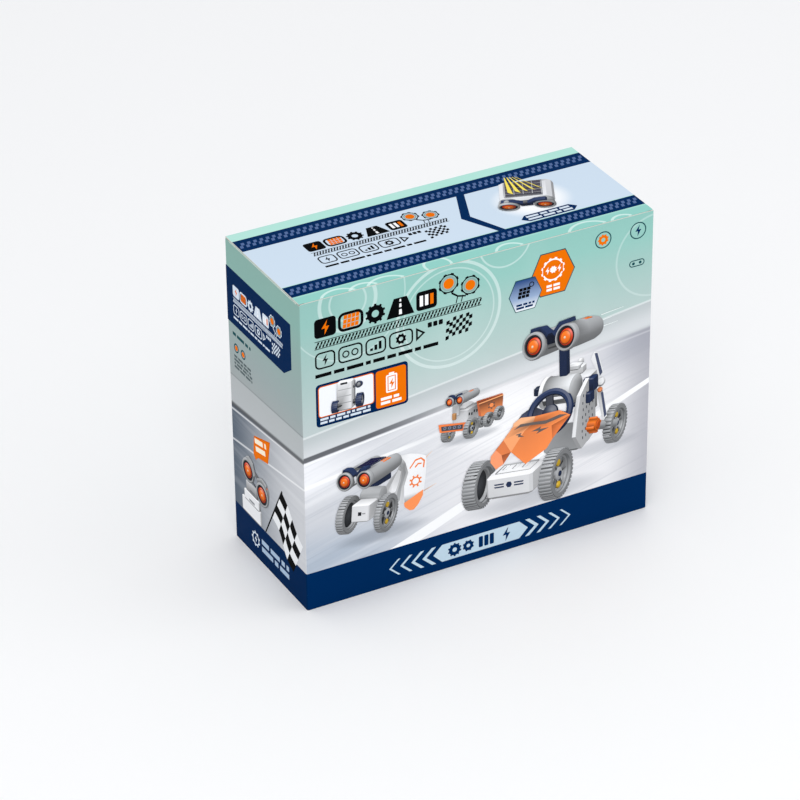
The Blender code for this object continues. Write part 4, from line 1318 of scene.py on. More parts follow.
def carrier(solid):
    """A six-wheeled robot with an open box on its back."""
    solid.face((-0.6, -0.2, 0.78), (0.8, -0.16, 0.58))
    goggles(solid, (106.4, 127.8, 22), (113.9, 127.3, 26), (-0.62, -0.12, 0.78), (0.78, -0.05, 0.62), 3.6, 22)
    # The body and its mast.
    body = solid.at(118.6, 116.4, 6)
    solid.block(body, (-8, -7, -6.4), (7, 7, 5), BODY_WHITE, 0.8)
    solid.block(body, (-4, -4.5, 5), (7, 5, 7.4), BODY_WHITE, 0.8)
    solid.block(solid.at(112.6, 120.4, 10), (-2.4, -3, -4), (2.4, 3, 5), srgb(226, 227, 229), 0.5)
    solid.block(solid.at(110.6, 116, 14), (-1, -2, -2.6), (1, 1, 2.4), srgb(206, 150, 96), 0.3)
    for k in range(4):
        solid.block(body, (-5.4 + 3.2 * k, 7, -1.4 + k % 2), (-4 + 3.2 * k, 7.2, 0.6 + k % 2), DARK)
    # The bumper, with a row of lamps.
    solid.plate([(98.4, 113), (118.7, 109.4), (118, 103.4), (99.3, 106.8)], 18, 22, AMBER)
    solid.plate([(100.2, 111.2), (116.6, 108.4), (116.2, 104.9), (100.6, 107.6)], 22, 22.3, srgb(38, 42, 56))
    for k in range(4):
        lamp = 103 + 3.6 * k, 109.2 - 0.62 * k
        solid.plate(circle(*lamp, 1.2, 10), 22.3, 22.5, srgb(120, 126, 142))
        solid.plate(circle(*lamp, 0.7, 8), 22.5, 22.6, BLUE)
    # The box: its inside, its end and its near side with a ring badge.
    solid.plate([(126.9, 122.8), (146.2, 123.4), (146.9, 121.9), (128.6, 120)], 4, 8, srgb(226, 100, 20))
    solid.plate([(126.9, 122.8), (128.6, 120.2), (130.4, 110.2), (128.4, 111.4)], 4, 9, srgb(222, 104, 36))
    near_side = [(128.6, 120.2), (146.9, 122), (146.4, 113.4), (142, 110.8), (130.4, 110.2)]
    solid.plate(near_side, 4, 10, srgb(250, 138, 60))
    solid.plate([(128.4, 120.6), (147, 122.4), (147, 121.6), (128.5, 119.8)], 10, 10.2, srgb(255, 166, 100))
    solid.plate(cog(138.1, 116.7, 2.9, 6, 0.3), 10, 10.2, srgb(90, 54, 34))
    solid.plate(circle(138.1, 116.7, 1.6, 14), 10.2, 10.3, srgb(250, 138, 60))
    wheel(solid, solid.at(105.6, 104.2, 10), 6.2, 5.0, treads=20)
    wheel(solid, solid.at(122.6, 103.8, 22), 7.8, 4.0, treads=22)
    for place, radius, width, treads in (((130.2, 106.4, -8), 4.6, 3.6, 14), ((135.7, 106.5, 16), 5.5, 3.2, 18),
                                         ((143.6, 109.1, 15), 5.3, 3.2, 18)):
        wheel(solid, solid.at(*place), radius, width, treads=treads, plugs=0)


def buggy(solid):
    """A four-wheeled car with a steering wheel and a lookout head on a post."""
    solid.face((-0.45, -0.3, 0.84), (0.88, -0.13, 0.45))
    goggles(solid, (169.4, 152.0, 40), (193.8, 152.4, 56), (-0.62, -0.04, 0.78), (0.78, 0.02, 0.62), 10.0, 38)
    solid.block(solid.at(193.4, 133, 20), (-3, -3.2, -10), (3, 3.2, 12), BLUE, 0.5)
    buggy_seat(solid)
    buggy_tower(solid)
    buggy_steering(solid)
    buggy_hood(solid)
    buggy_bumper(solid)
    for u, v, far in ((221, 161.2, 17), (222, 152.2, 12), (221, 157, 8)):
        streak_of_speed(solid, u, v, far, 0.1, 0.6, 0.25, -10, srgb(240, 247, 246))
    wheel(solid, solid.at(128.5, 57.6, 30), 18.4, 11, rim=HOLLOW, hub=None, spokes=0)
    wheel(solid, solid.at(187.5, 48.8, 48), 19.8, 11)
    wheel(solid, solid.at(233.4, 74.8, -10), 15.0, 7, treads=32)


def buggy_seat(solid):
    """The seat, a drum with fittings on it, and the chassis under it with its pierced side panel."""
    body = solid.at(203, 114, 2)
    seat = solid.across(190.5, 112.5, 14)
    solid.lathe(seat, [(-14, 9), (-13, 11.5), (13, 11.5), (14, 9)], srgb(216, 218, 220), 28)
    solid.lathe(seat, [(-13.4, 10.4), (-13.2, 12), (-10, 12), (-9.8, 10.4)], BODY_WHITE, 28, "x", True)
    solid.block(body, (-6, -14, 8), (2, 6, 15), BODY_WHITE, 1.2)
    solid.block(body, (-4, -6, 12), (3, 4, 17), srgb(230, 231, 233), 1.2)
    solid.lathe(solid.across(206, 130, 4), [(-1.4, 2.4), (-1, 3), (1, 3), (1.4, 2.4)], BODY_WHITE, 16)
    solid.block(body, (-8, -14, -24), (6, 14, 8), srgb(226, 227, 229), 1.2)
    solid.block(solid.at(196, 80, 0), (-10, -16, -14), (10, 16, 12), SHELL, 2.0)
    solid.block(solid.at(173.5, 117, 8), (-3, -2.4, -3), (3, 2.4, 3), srgb(30, 42, 66), 0.5)
    panel = solid.at(209, 90, 14)
    outline = [(-17, -22), (8, -26), (18, -12), (13, 8), (9, 18), (-6, 26), (-15, 14)]
    solid.prism(panel, outline, -1.6, 1.6, srgb(234, 235, 237), "y")
    for row in range(7):
        for column in range(4):
            x, z = -10 + 5.4 * column - row * 0.4 + row % 2, -18 + 5.6 * row
            solid.block(panel, (x - 0.6, 1.6, z - 1.1), (x + 0.6, 1.75, z + 1.1), srgb(88, 92, 100))


def buggy_tower(solid):
    """The joint of the arm, the narrow tower of two bars behind it, and the axle with its orange knob."""
    solid.block(solid.at(214, 111.6, 12), (-4, -4.6, -5.6), (5, 4.6, 5.6), BLUE, 0.8)
    solid.block(solid.at(211.6, 101.6, 15), (-4, -4.2, -4), (4, 4.2, 4.4), BLUE, 0.8)
    solid.bar((200.4, 98.2, 20), (209, 100.6, 18), 1.7, BLUE)
    for outline, stripe in (([(213.6, 130), (216, 135), (219, 134), (223.6, 117), (220.8, 113), (217, 122)],
                             [(216.4, 133.6), (218.6, 133.4), (222.8, 117.4), (220.8, 115)]),
                            ([(218.4, 104.6), (222.8, 105), (227, 82.4), (223.6, 80)],
                             [(221.8, 102), (223.6, 102), (226.6, 83.6), (224.8, 82)])):
        solid.plate(outline, -6, 2, BODY_WHITE)
        solid.plate(stripe, 2, 2.6, BLUE)
    solid.lathe(frame_at((221.6, 110.4, 1), Z, X), [(-3, 3.6), (0, 3.4), (1.6, 2.4)], BODY_WHITE, 16)
    solid.lathe(frame_at((221.0, 104.4, 2), Z, X), [(-3, 2.2), (0, 2), (1, 1.4)], srgb(250, 150, 90), 12)
    knob = solid.across(216.4, 78.4, 20)
    solid.lathe(knob, [(-4, 4.6), (-3.2, 5.4), (3.2, 5.4), (4, 4.6)], AMBER, 8)
    solid.lathe(knob, [(4, 3.4), (4.8, 2.6)], srgb(226, 96, 20), 8)
    for k in range(4):
        solid.block(spun(knob, k, 4, "X"), (-3.6, -1.1, 5), (3.6, 1.1, 6.4), AMBER, 0.3)
    solid.bar((217, 77.6, 6), (234, 75, -8), 3.4, SHELL, 16)


def buggy_steering(solid):
    """The steering wheel, and the dark dashboard behind it."""
    solid.plate([(157, 97.4), (161, 102.6), (170, 106.4), (178, 101), (174, 95)], 20, 22, srgb(34, 46, 78))
    steer = frame_at((182.6, 97.6, 26), (-0.3, 0.22, 0.93), (0.95, 0.1, 0.3))
    solid.lathe(steer, torus_section(2.8, 16.2, 8, 3.4), BLUE, 40, "x", True)
    solid.lathe(steer, [(-1, 5.8), (0, 6.8), (2, 6), (3.2, 2.6)], srgb(24, 34, 58), 20)
    for k in range(3):
        solid.block(spun(steer, k, 3, "X"), (-1, -3, 5), (0.8, 3, 15.5), BLUE, 0.4)
    solid.bar((183, 97, 26), (190, 88, 6), 2.2, DARK)


def buggy_hood(solid):
    """The hood: pale facets left of its ridge, deeper ones right of it, a flap in front, and dark marks on it."""
    corner = {"a": (160.3, 100.5), "b": (171.3, 98.6), "c": (190.0, 97.8), "d": (198.3, 91.8), "e": (192.1, 85.4),
              "f": (184.5, 77.0), "g": (180.2, 71.0), "h": (164.0, 63.7), "i": (152.9, 76.2), "j": (147.1, 87.1),
              "k": (154.2, 95.1), "l": (154.8, 97.6), "m": (169.4, 93.5), "n": (162.8, 89.2), "o": (183.9, 87.8),
              "p": (147.2, 68.7), "q": (141.5, 66.1), "r": (137.2, 72.7), "s": (137.7, 77.4), "t": (141.4, 81.1),
              "u": (145.7, 75.9)}
    facets = (("labmk", (255, 180, 128), 47.6), ("kmnij", (252, 160, 98), 47.4), ("bcdom", (250, 136, 56), 47.2),
              ("odef", (244, 122, 40), 46.8), ("mofghin", (248, 132, 50), 47), ("jiut", (247, 128, 50), 46.6),
              ("ipu", (240, 116, 40), 46.4), ("tupqrs", (252, 150, 98), 46.8))
    for names, colour, high in facets:
        solid.plate([corner[name] for name in names], 38, high, srgb(*colour))
    dark_marks = ([(155, 92.5), (160, 95.6), (170, 94.4), (180, 93), (190, 94.5), (196, 93), (188, 91.6),
                   (179, 90.4), (168, 92.6), (160, 93.4)],
                  [(156, 88.4), (161, 88.8), (160, 87.4), (163, 85.2), (158, 86.2), (158.5, 87.4)],
                  [(168.5, 87.6), (176, 89.4), (175, 87.6), (182, 87.0), (172, 84.6), (174, 86.6)])
    for outline in dark_marks:
        solid.plate(outline, 48, 48.1, srgb(84, 74, 70))


def buggy_bumper(solid):
    """The bumper, with a plain badge between two grilles."""
    nose = solid.at(156.0, 54.6, 30)
    solid.block(nose, (-14, -20, -11), (10, 19.5, 8), BODY_WHITE, 2.2)
    solid.block(nose, (-11, -14, 8), (6, 16, 8.9), srgb(206, 208, 210), 0.7)
    for k in range(3):
        solid.block(nose, (-7, -10 + 8.4 * k, 8.9), (2, -6 + 8.4 * k, 9.8), BODY_WHITE, 0.5)
    solid.prism(nose, circle(0, 0, 2.6, 6), 10, 10.2, BLUE, "x")
    for way in (-1, 1):
        for low in (-1.7, 0.5):
            grille = [(way * 4.4, low), (way * 12, low), (way * 12.8, low + 1.1), (way * 4.4, low + 1.1)]
            solid.prism(nose, grille, 10, 10.2, BLUE, "x")


def lookout(solid):
    """A lookout head on a stepped neck."""
    goggles(solid, (23.3, 63.6, 20), (43.8, 55.4, 24), (-0.12, -0.2, 0.97), (0.9, -0.36, 0.2), 8.4, 26, SHELL)
    neck = frame_at((27, 42, 4), (-0.2, -0.1, 0.97), (0.95, 0, 0.2))
    steps = (((-6, -14.5, -13.6), (2, 13.5, -2)), ((-6, -10.5, -3), (3, 12, 5)), ((-6, -7.5, 4), (1, 9, 13)))
    for low, high in steps:
        solid.block(neck, low, high, BODY_WHITE, 0.8)
    for low, high, level in ((-3, 5, -1.4), (-1, 7, 6.4)):
        solid.block(neck, (3, low, level), (3.3, high, level + 1.6), RIM)


def solar_head(solid):
    """A head with a solar panel on its top, seen from above, in rays of light."""
    front, side = (-0.35, -0.68, 0.64), (0.93, -0.3, 0.2)
    solid.face(front, side)
    goggles(solid, (179.0, 49.0, 26), (202.0, 41.4, 24), front, side, 6.9, 12, marks=False)
    case = solid.at(199, 61, -2)
    solid.block(case, (-22, -18, -7), (15, 18, 5), srgb(218, 219, 222), 3.0)
    solid.block(case, (-19, -14, 5), (10, 12.5, 5.8), srgb(96, 98, 106), 0.4)
    for row in range(5):
        for column in range(4):
            x, y = -18 + 5.5 * row, -13 + 6.3 * column
            solid.block(case, (x, y, 5.8), (x + 5.1, y + 5.9, 5.9), srgb(62, 58, 70))
    solid.block(case, (6, -13, 5.8), (9.6, 12, 6.6), srgb(66, 66, 74), 0.3)
    for k in range(5):
        foot = -11 + 5.2 * k
        ray = [(-28, foot * 0.35 - 9), (-27.6, foot * 0.35 - 8.3), (5 - 1.5 * k, foot + 3.6), (1 - 1.5 * k, foot)]
        solid.prism(case, ray, 6.2, 6.4, srgb(236, 208, 78))


def helper(solid):
    """A small robot on two wheels, seen from behind."""
    side = (0.96, -0.06, 0.26)
    solid.face((-0.26, -0.14, 0.95), side)
    body = solid.at(31, 155, 0)
    solid.block(body, (-5, -6, -10.5), (3, 5.5, 11), BODY_WHITE, 0.8)
    for level in (-5, 0, 5):
        solid.block(body, (3, -5, level), (3.2, 5, level + 0.5), SHELL)
    solid.block(body, (0, -3, 9), (3.4, 2, 10.4), DARK)
    solid.block(solid.at(35.4, 155.6, -3), (-4, -2.6, -10.5), (3, 2, 9), SHELL, 0.6)
    solid.bar((36, 160, 2), (39.4, 160.5, 2), 1.0, RIM)
    goggle(solid, frame_at((40.4, 160.6, 6), (-0.3, 0, 0.95), side), 2.3, 5, BLUE, RIM, RIM)
    for u, v, w, r in ((23.6, 148.6, 2, 4.4), (41.2, 149, 2, 5.0)):
        wheel(solid, solid.at(u, v, w), r, 4.4, BLUE, srgb(46, 60, 92), treads=16, plugs=0)
    solid.bar((24, 148.6, 0), (41, 149, 0), 1.6, RIM)


def picture_of(draw, name, face, **options):
    """Draws a robot and presses it onto a face."""
    picture = Picture()
    draw(picture)
    picture.press(name, face, **options)


def all_pictures():
    """The robots on the front, the sides and the lid, and all six in the back's windows."""
    for draw in (rover, carrier, buggy, helper):
        picture_of(draw, f"front_{draw.__name__}_picture", "front")
    picture_of(lookout, "left_lookout_picture", "left")
    picture_of(lookout, "right_lookout_picture", "right", at=(DEPTH, 0), mirror=-1)
    picture_of(solar_head, "top_head_picture", "top", body="lid", slot="carton_lid")
    # Each picture's own middle and the size it takes in the back's windows.
    shown = ((buggy, 176, 96, 0.33), (rover, 57, 73, 0.74), (carrier, 126, 115, 1.12), (lookout, 33, 52, 0.84),
             (solar_head, 196, 57, 0.96), (helper, 33, 155, 1.7))
    for k, (draw, u, v, scale) in enumerate(shown):
        place = BACK_COLUMNS[k % 3] + WINDOW_WIDE / 2 - u * scale, BACK_ROWS[1 - k // 3] + 33 - v * scale
        picture_of(draw, f"back_{draw.__name__}_picture", "back", at=place, scale=scale)


# Materials of the pieces inside ---------------------------------------------------------------------------


def moulded(name, colour, roughness=0.4, **settings):
    """Moulded plastic: a faint flow in the colour, a fine satin grain and slow waves in the surface."""
    paint = Paint(name, colour, roughness, **settings)
    darker = tuple(value * 0.84 for value in colour)
    paint.set("Base Color", paint.mix(paint.noise(16, 3, (2, 1, 1)).rise(0.35, 0.7), colour, darker))
    paint.set("Roughness", paint.noise(3, 3) * 0.18 + (roughness - 0.09))
    return paint.bump((paint.noise(14, 1), 0.05), (paint.noise(0.25, 2), 0.004)).material


def lens():
    """Clear orange plastic with rings moulded into it, and a painted glow in its middle."""
    paint = Paint("orange_lens_clear", srgb(240, 84, 20), 0.1, coat_weight=0.6, coat_roughness=0.04)
    _, y, z = paint.position()
    across = (y - HEAD_MIDDLE.y).size() - HEAD_SPREAD
    distance = squared(across, z - HEAD_MIDDLE.z).apply("SQRT")
    # Painted glow: pale orange in the lens's middle, deep red towards its rim.
    paint.set("Base Color", paint.mix(distance.rise(9, 1), srgb(196, 48, 14), srgb(255, 142, 48)))
    return paint.bump((distance.wave(1.9635), 0.12)).material


def solar_cells():
    """Blue-black cells with fine silver fingers under a clear film."""
    paint = Paint("solar_cell_film", srgb(14, 20, 54), 0.2, coat_weight=0.8, coat_roughness=0.05)
    x, y, _ = paint.position()
    fingers = x.wave(1.4).rise(0.93, 0.99)
    bars = y.wave(8).rise(0.985, 0.995)
    lines = (fingers * 0.5).apply("MAXIMUM", bars)
    cell = paint.mix(paint.noise(2.5, 3), srgb(12, 16, 48), srgb(26, 34, 86))
    paint.set("Base Color", paint.mix(lines, cell, srgb(176, 182, 196)))
    return paint.material


def steel():
    """Drawn steel, its gloss and fine grooves along x."""
    paint = Paint("drawn_steel", (0.6, 0.61, 0.63), 0.3, metallic=1.0)
    paint.set("Roughness", paint.noise(0.6, 3, (20, 1, 1)) * 0.25 + 0.18)
    return paint.bump((paint.noise(0.5, 2, (30, 1, 1)), 0.006)).material


def kraft():
    """Brown card with pulp flecks and the faint lines of its flutes."""
    paint = Paint("kraft_card_fibre", roughness=0.92)
    base = paint.mix(paint.noise(22, 3), srgb(186, 152, 112), srgb(166, 131, 92))
    flecks = paint.noise(0.7, 3, (3, 1, 1), (0.3, 0.2, 0.9)).rise(0.64, 0.74)
    paint.set("Base Color", paint.mix(flecks * 0.45, base, srgb(116, 86, 56)))
    x, _, _ = paint.position()
    return paint.bump((x.wave(3.2), 0.03), (paint.noise(0.5, 3), 0.03)).material


def printed_paper():
    """Coated paper with a pale border, a tinted field and rows of small marks."""
    paint = Paint("printed_paper", roughness=0.45)
    _, _, z = paint.position()
    rows = z.wave(9).rise(0.1, 0.2)
    columns = paint.noise(3, 1, (2.2, 1, 0.6)).rise(0.5, 0.53)
    top = box_of("instruction_booklet")[1].z
    field = paint.mix(z.rise(60, top), srgb(226, 234, 240), srgb(178, 218, 211))
    field = paint.mix((z - (top - 9)).size().rise(2.5, 2.4), field, NAVY)
    marks = paint.mix(rows * columns * z.rise(top - 18, top - 19) * 0.6, field, srgb(96, 112, 134))
    paint.set("Base Color", marks)
    return paint.bump((paint.noise(0.4, 2), 0.006)).material


def two_sided_board(name, colour, outward):
    """Board printed on the side that faces outward and raw on the other and on its edges."""
    paint = Paint(name, roughness=0.6)
    dot = paint.add("VectorMath")
    dot.operation = "DOT_PRODUCT"
    paint.tree.links.new(paint.add("TexCoord").outputs["Normal"], dot.inputs[0])
    dot.inputs[1].default_value = outward
    printed = paint.mix(paint.noise(60, 1) * 0.3, colour, srgb(232, 246, 243))
    side = Value(paint.tree, dot.outputs["Value"]).rise(0.5, 0.6)
    paint.set("Base Color", paint.mix(side, raw_colour(paint), printed))
    return paint.bump((paint.noise(50, 1), 0.3), (paint.noise(0.4, 3), 0.01)).material


# The pieces inside ----------------------------------------------------------------------------------------


def looks():
    """The material of each of the record's slots."""
    return {
        "white_plastic": moulded("white_plastic_satin", srgb(238, 240, 242)),
        "grey_plastic": moulded("grey_plastic_satin", srgb(166, 168, 171), 0.45),
        "navy_plastic": moulded("navy_plastic_satin", srgb(30, 48, 84), 0.38),
        "orange_plastic": moulded("orange_plastic_satin", srgb(246, 120, 26), 0.34),
        "black_plastic": moulded("black_plastic_satin", srgb(26, 27, 30), 0.42),
        "yellow_plastic": moulded("yellow_plastic_satin", srgb(248, 196, 48), 0.38),
        "orange_lens": lens(),
        "solar_cell": solar_cells(),
        "steel": steel(),
        "kraft_card": kraft(),
        "paper": printed_paper(),
        "carton_board": board,
    }


def dress_cad(look):
    """Gives every CAD node the finish of its slot, and the flaps board that is printed on its outer side."""
    for part in frame["record"]["subparts"]:
        material = look.get(part["material_slot"])
        if material:
            frame["nodes"][part["node"]].material_slots[0].material = material
    mint, pale = srgb(164, 222, 210), srgb(206, 222, 234)
    printed = {"lid_tuck_flap": (mint, -Y), "dust_flap_left": (mint, Z), "dust_flap_right": (mint, Z),
               "glue_tab": (mint, -X)}
    for side in ("front", "back", "left", "right"):
        printed[f"bottom_flap_{side}"] = (pale, -Z)
    for name, (colour, way) in printed.items():
        frame["nodes"][name].material_slots[0].material = two_sided_board(name + "_board", colour, way)


def real_wheels(look):
    """The four loose wheels, each with a hollow hub, and their six-sided caps."""
    grey = look["grey_plastic"]
    for number in range(1, 5):
        centre, size = middle_of(f"wheel_{number}")
        solid = Solid()
        here = frame_at(centre, Y, X)
        wheel(solid, here, size.z / 2, size.x, grey, grey, grey, None, 26, 0)
        half = size.x / 2
        hub = [(3 - half, 6), (half - 5, 6), (half - 5, 2.3), (3 - half, 2.3)]
        solid.lathe(here, hub, grey, 24, "y", True)
        solid.done(f"wheel_{number}_moulded", "grey_plastic", f"wheel_{number}")
        centre, size = middle_of(f"hub_cap_{number}")
        cap = Solid()
        six = circle(0, 0, size.y / 2, 6)
        half = size.x / 2
        steps = ((-half, 1), (half - 0.8, 1), (half, 0.84), (half, 0.45), (half - 1.2, 0.4))
        loops = [[(along, u * inset, v * inset) for u, v in six] for along, inset in steps]
        cap.loft(Matrix.Translation(centre), loops, look["orange_plastic"])
        cap.done(f"hub_cap_{number}_moulded", "orange_plastic", f"hub_cap_{number}")


def real_head(look):
    """The head: two tubes and a bridge, stepped bezels, ringed lenses and the framed solar panel."""
    low, high = box_of("head_shell")
    level = HEAD_MIDDLE.z
    real_shell(look["grey_plastic"], low.x, high.x, level)
    black, glass = look["black_plastic"], look["orange_lens"]
    for side, place in zip(("left", "right"), head_places):
        at = Matrix.Translation((low.x, place.y, level))
        bezel = Solid()
        step = [(8.7, 12.2), (8.7, 9.6), (3.0, 9.6), (2.6, 9.8), (1.0, 10.5), (1.0, 11.9), (1.3, 12.2)]
        bezel.lathe(at, step, black, 40, "x", True)
        for k in range(12):
            bezel.block(spun(at, k, 12, "X"), (1.0, -0.5, 10.7), (1.35, 0.5, 11.8), black)
        bezel.done(f"lens_bezel_{side}_moulded", "black_plastic", f"lens_bezel_{side}")
        dome = Solid()
        turns = [math.pi / 20 * k for k in range(1, 11)]
        profile = [(8.7, 0.1), (8.7, 9.2), (7.4, 9.2)]
        profile += [(7.4 - 4.0 * math.sin(t), 9.2 * math.cos(t)) for t in turns]
        dome.lathe(at, profile, glass, 40)
        dome.done(f"lens_{side}_moulded", "orange_lens", f"lens_{side}", smooth=60)
    low, high = box_of("solar_panel")
    panel = Solid()
    panel.block(Matrix(), low, (high.x, high.y, high.z - 0.3), black, 0.5)
    for row in range(4):
        for column in range(3):
            x, y = low.x + 1.6 + 10.8 * row, low.y + 1.6 + 10.4 * column
            cell = (x, y, high.z - 0.4), (x + 10.4, y + 10.0, high.z - 0.05)
            panel.block(Matrix(), *cell, look["solar_cell"], 0.1)
    panel.done("solar_panel_cells", "solar_cell", "solar_panel")


def real_shell(grey, start, end, level):
    """The head's two tubes with their seams, the bridge between them and its two screws, from start to end in x."""
    shell = Solid()
    length = end - start
    front = [(9, 0.1), (9, 12.4), (0.4, 13.2), (0, 13.6), (0, 14.7), (0.5, 15.2), (1.4, 15.5), (8, 15.5),
             (8.2, 15.2), (8.9, 15.2), (9.1, 15.5)]
    rear = [(27, 15.5), (26.8, 15.2), (26, 15.2), (25.6, 15.4), (12, 14.2), (3, 12.6), (1, 11.6), (0, 10.2), (0, 6),
            (1, 5.6), (1, 0.1)]             # (distance from the rear end, radius)
    profile = front + [(length - back, radius) for back, radius in rear]
    for place in head_places:
        shell.lathe(Matrix.Translation((start, place.y, level)), profile, grey, 40)
    bridge = [(-5.4, -12), (5.4, -12), (6, -11.4), (9, 6), (9, 14.3), (8.4, 14.9), (-8.4, 14.9), (-9, 14.3),
              (-9, 6), (-6, -11.4)]
    shell.prism(Matrix.Translation((0, HEAD_MIDDLE.y, level)), bridge, start + 10, end - 12, grey, "x")
    for x in (start + 22, end - 22):
        screw = frame_at((x, HEAD_MIDDLE.y, level - 12), -Z, Y)
        shell.lathe(screw, [(0, 2.6), (0.3, 2.4), (0.3, 1.4), (-0.6, 1.3)], grey, 16)
    shell.done("head_shell_moulded", "grey_plastic", "head_shell")


def real_steering_wheel(look):
    """A steering wheel with three spokes and grips on the inside of its rim."""
    centre, size = middle_of("steering_wheel")
    navy = look["navy_plastic"]
    solid = Solid()
    here = Matrix.Translation(centre) @ Matrix.Rotation(math.pi / 2, 4, "Z")
    thick = 2.75
    radius = size.z / 2 - thick
    solid.lathe(here, torus_section(thick, radius, 12), navy, 56, "x", True)
    solid.lathe(here, [(-3.2, 5.4), (-2.8, 6), (2.8, 6), (3.2, 5.4), (3.2, 3.4), (2.2, 3.2)], navy, 28)
    for k in range(3):
        spoke = spun(here, k, 3, "X")
        solid.block(spoke, (-1.6, -2.3, 4.5), (1.6, 2.3, radius - 1.5), navy, 0.5)
        solid.block(spoke, (-1.8, -0.8, 7), (1.8, 0.8, radius - 4), navy, 0.3)
    for k in range(18):
        grip = spun(here, k, 18, "X") @ Matrix.Translation((0, 0, radius))
        solid.block(grip, (-1.2, -1.0, -2.7), (1.2, 1.0, -2.2), navy, 0.2)
    solid.done("steering_wheel_moulded", "navy_plastic", "steering_wheel")


def real_booklet(look):
    """A stapled booklet: a folded cover round a block of pages."""
    low, high = box_of("instruction_booklet")
    booklet = Solid()
    half = (high.y - low.y) / 2
    middle, spine = low.y + half, high.x
    section = [(low.x, -half), (spine - 2, -half), (spine - 0.6, -half * 0.7), (spine, 0),
               (spine - 0.6, half * 0.7), (spine - 2, half), (low.x, half), (low.x, half - 0.3),
               (spine - 2, half - 0.3), (spine - 1, 0), (spine - 2, 0.3 - half), (low.x, 0.3 - half)]
    booklet.prism(Matrix.Translation((0, middle, 0)), section, low.z, high.z, look["paper"])
    sheets, margin = 8, 0.42
    for sheet in range(sheets):
        y = low.y + margin + sheet * (2 * half - 2 * margin) / sheets
        x = low.x + 0.5 + 0.1 * (sheet % 3)
        booklet.block(Matrix(), (x, y, low.z + 0.4), (spine - 2.4, y + 0.24, high.z - 0.4), board)
    for z in (low.z + 50, high.z - 50):
        booklet.bar((spine - 0.1, middle, z - 6), (spine - 0.1, middle, z + 6), 0.3, look["steel"])
    booklet.done("instruction_booklet_stapled", "paper", "instruction_booklet")


def real_battery_door(look):
    """The battery door with its ribs and a bolt symbol."""
    low, high = box_of("battery_door")
    grey = look["grey_plastic"]
    door = Solid()
    door.block(Matrix(), low, (high.x, high.y, high.z - 0.35), grey, 0.3)
    for k in range(6):
        y = low.y + 3 + 1.8 * k
        door.block(Matrix(), (low.x + 18, y, high.z - 0.4), (high.x - 18, y + 0.9, high.z), grey, 0.12)
    sign = bolt((low.x + high.x) / 2, low.y + 23, 5)
    door.prism(Matrix(), sign, high.z - 0.4, high.z - 0.05, look["orange_plastic"])
    door.done("battery_door_ribbed", "grey_plastic", "battery_door", "battery_lid")


def contents():
    """Everything inside the carton."""
    look = looks()
    dress_cad(look)
    for make in (real_wheels, real_head, real_steering_wheel, real_booklet, real_battery_door):
        make(look)


# The scene ------------------------------------------------------------------------------------------------


def carton():
    """The four walls. The back one is rounded at its crease, and the side ones lean in a little below theirs."""
    wall("front", WIDTH, [(0, 0), (HEIGHT - 0.2, 0)], front_print())
    wall("back", WIDTH, [(0, 0), (HEIGHT - CREASE, 0), (HEIGHT - 0.5, 0.2)], back_print())
    top = HEIGHT - 1.1
    for face in ("left", "right"):
        wall(face, DEPTH, [(0, 0), (top - 1.0, 0), (top - 0.6, 0.1), (top - 0.3, 0.3)], side_print(face))


def lid():
    """The lid's board, with half a crease at its back and half at its front."""
    low, high = box_of("lid_panel")
    section, printed = folded_section(low.y, high.y + 0.1, high.z)
    bm = bmesh.new()
    sweep(bm, [[Vector((x, y, z)) for y, z in section] for x in (-high.x, high.x)], printed)
    finish_piece("lid_panel_print", bm, [top_print(), board], "lid", "carton_lid", ["lid_panel"], 35)


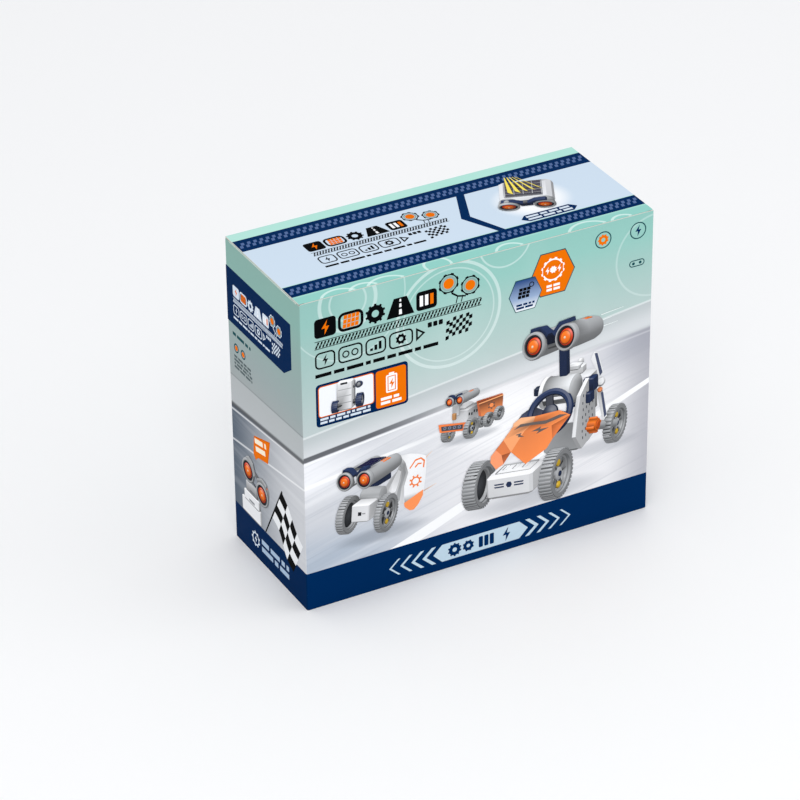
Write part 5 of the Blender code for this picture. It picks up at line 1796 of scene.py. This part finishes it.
def creases():
    """The bent strips at the lid's, the tuck flap's and the dust flaps' folds, a little shorter than the boards."""
    low, high = box_of("lid_panel")
    crease("lid_crease", "lid_hinge", Y, (low.x + 0.3, high.x - 0.3), "carton_lid", 1)
    low, high = box_of("lid_tuck_flap")
    shoulder = 2.2                          # the flap's own corners are cut back this far at the fold
    ends = (low.x + shoulder, high.x - shoulder)
    crease("tuck_crease", "tuck_fold", -Y, ends, "carton_lid")
    for side, out in (("left", -X), ("right", X)):
        low, high = box_of("dust_flap_" + side)
        body = "dust_" + side
        ends = (low.y + 0.2, high.y - 0.2)
        crease(body + "_crease", body + "_hinge", out, ends, "carton_board")


def stage():
    """A pale floor, a pale even sky, a large key light at the front left and a weaker one at the right."""
    bpy.ops.mesh.primitive_plane_add(size=6)
    floor = bpy.context.object
    floor.name = "studio_floor"
    floor.location.z = FLOOR_LEVEL * MM
    paint = Paint("studio_floor", srgb(252, 252, 252), 0.6)
    paint.bump((paint.noise(8, 2), 0.02))
    floor.data.materials.append(paint.material)
    world = bpy.data.worlds.new("studio")
    world.use_nodes = True
    background = world.node_tree.nodes["Background"]
    background.inputs["Color"].default_value = (0.97, 0.98, 1, 1)
    background.inputs["Strength"].default_value = 0.86
    bpy.context.scene.world = world
    target = Vector((0, 0, 0.11))           # metres, as are the lights' places and sizes
    for name, place, size, power in (("key", (-0.9, -1.5, 1.9), 1.2, 13), ("fill", (1.6, -0.9, 0.9), 1.4, 4)):
        light = bpy.data.lights.new(name, "AREA")
        light.size = size
        light.energy = power
        lamp = bpy.data.objects.new(name, light)
        lamp.location = place
        lamp.rotation_euler = (target - Vector(place)).to_track_quat("-Z", "Y").to_euler()
        bpy.context.scene.collection.objects.link(lamp)


def camera():
    """A long lens at the front left, above the lid. Its place is in carton widths from the middle of the base."""
    place, turn = (-3.9307, -7.1573, 5.1930), (59.42, 0.595, -28.38)
    data = bpy.data.cameras.new("camera")
    data.lens, data.sensor_width = 166.3, 36.0
    eye = bpy.data.objects.new("camera", data)
    eye.location = Vector(place) * WIDTH * MM
    eye.rotation_euler = [math.radians(angle) for angle in turn]
    bpy.context.scene.collection.objects.link(eye)
    bpy.context.scene.camera = eye


def main():
    """Builds the scene."""
    bpy.context.scene.view_settings.view_transform = "Standard"
    camera()
    stage()
    carton()
    lid()
    front_artwork()
    side_artwork("left")
    side_artwork("right")
    top_artwork()
    back_artwork()
    bottom_artwork()
    all_pictures()
    contents()
    creases()


main()
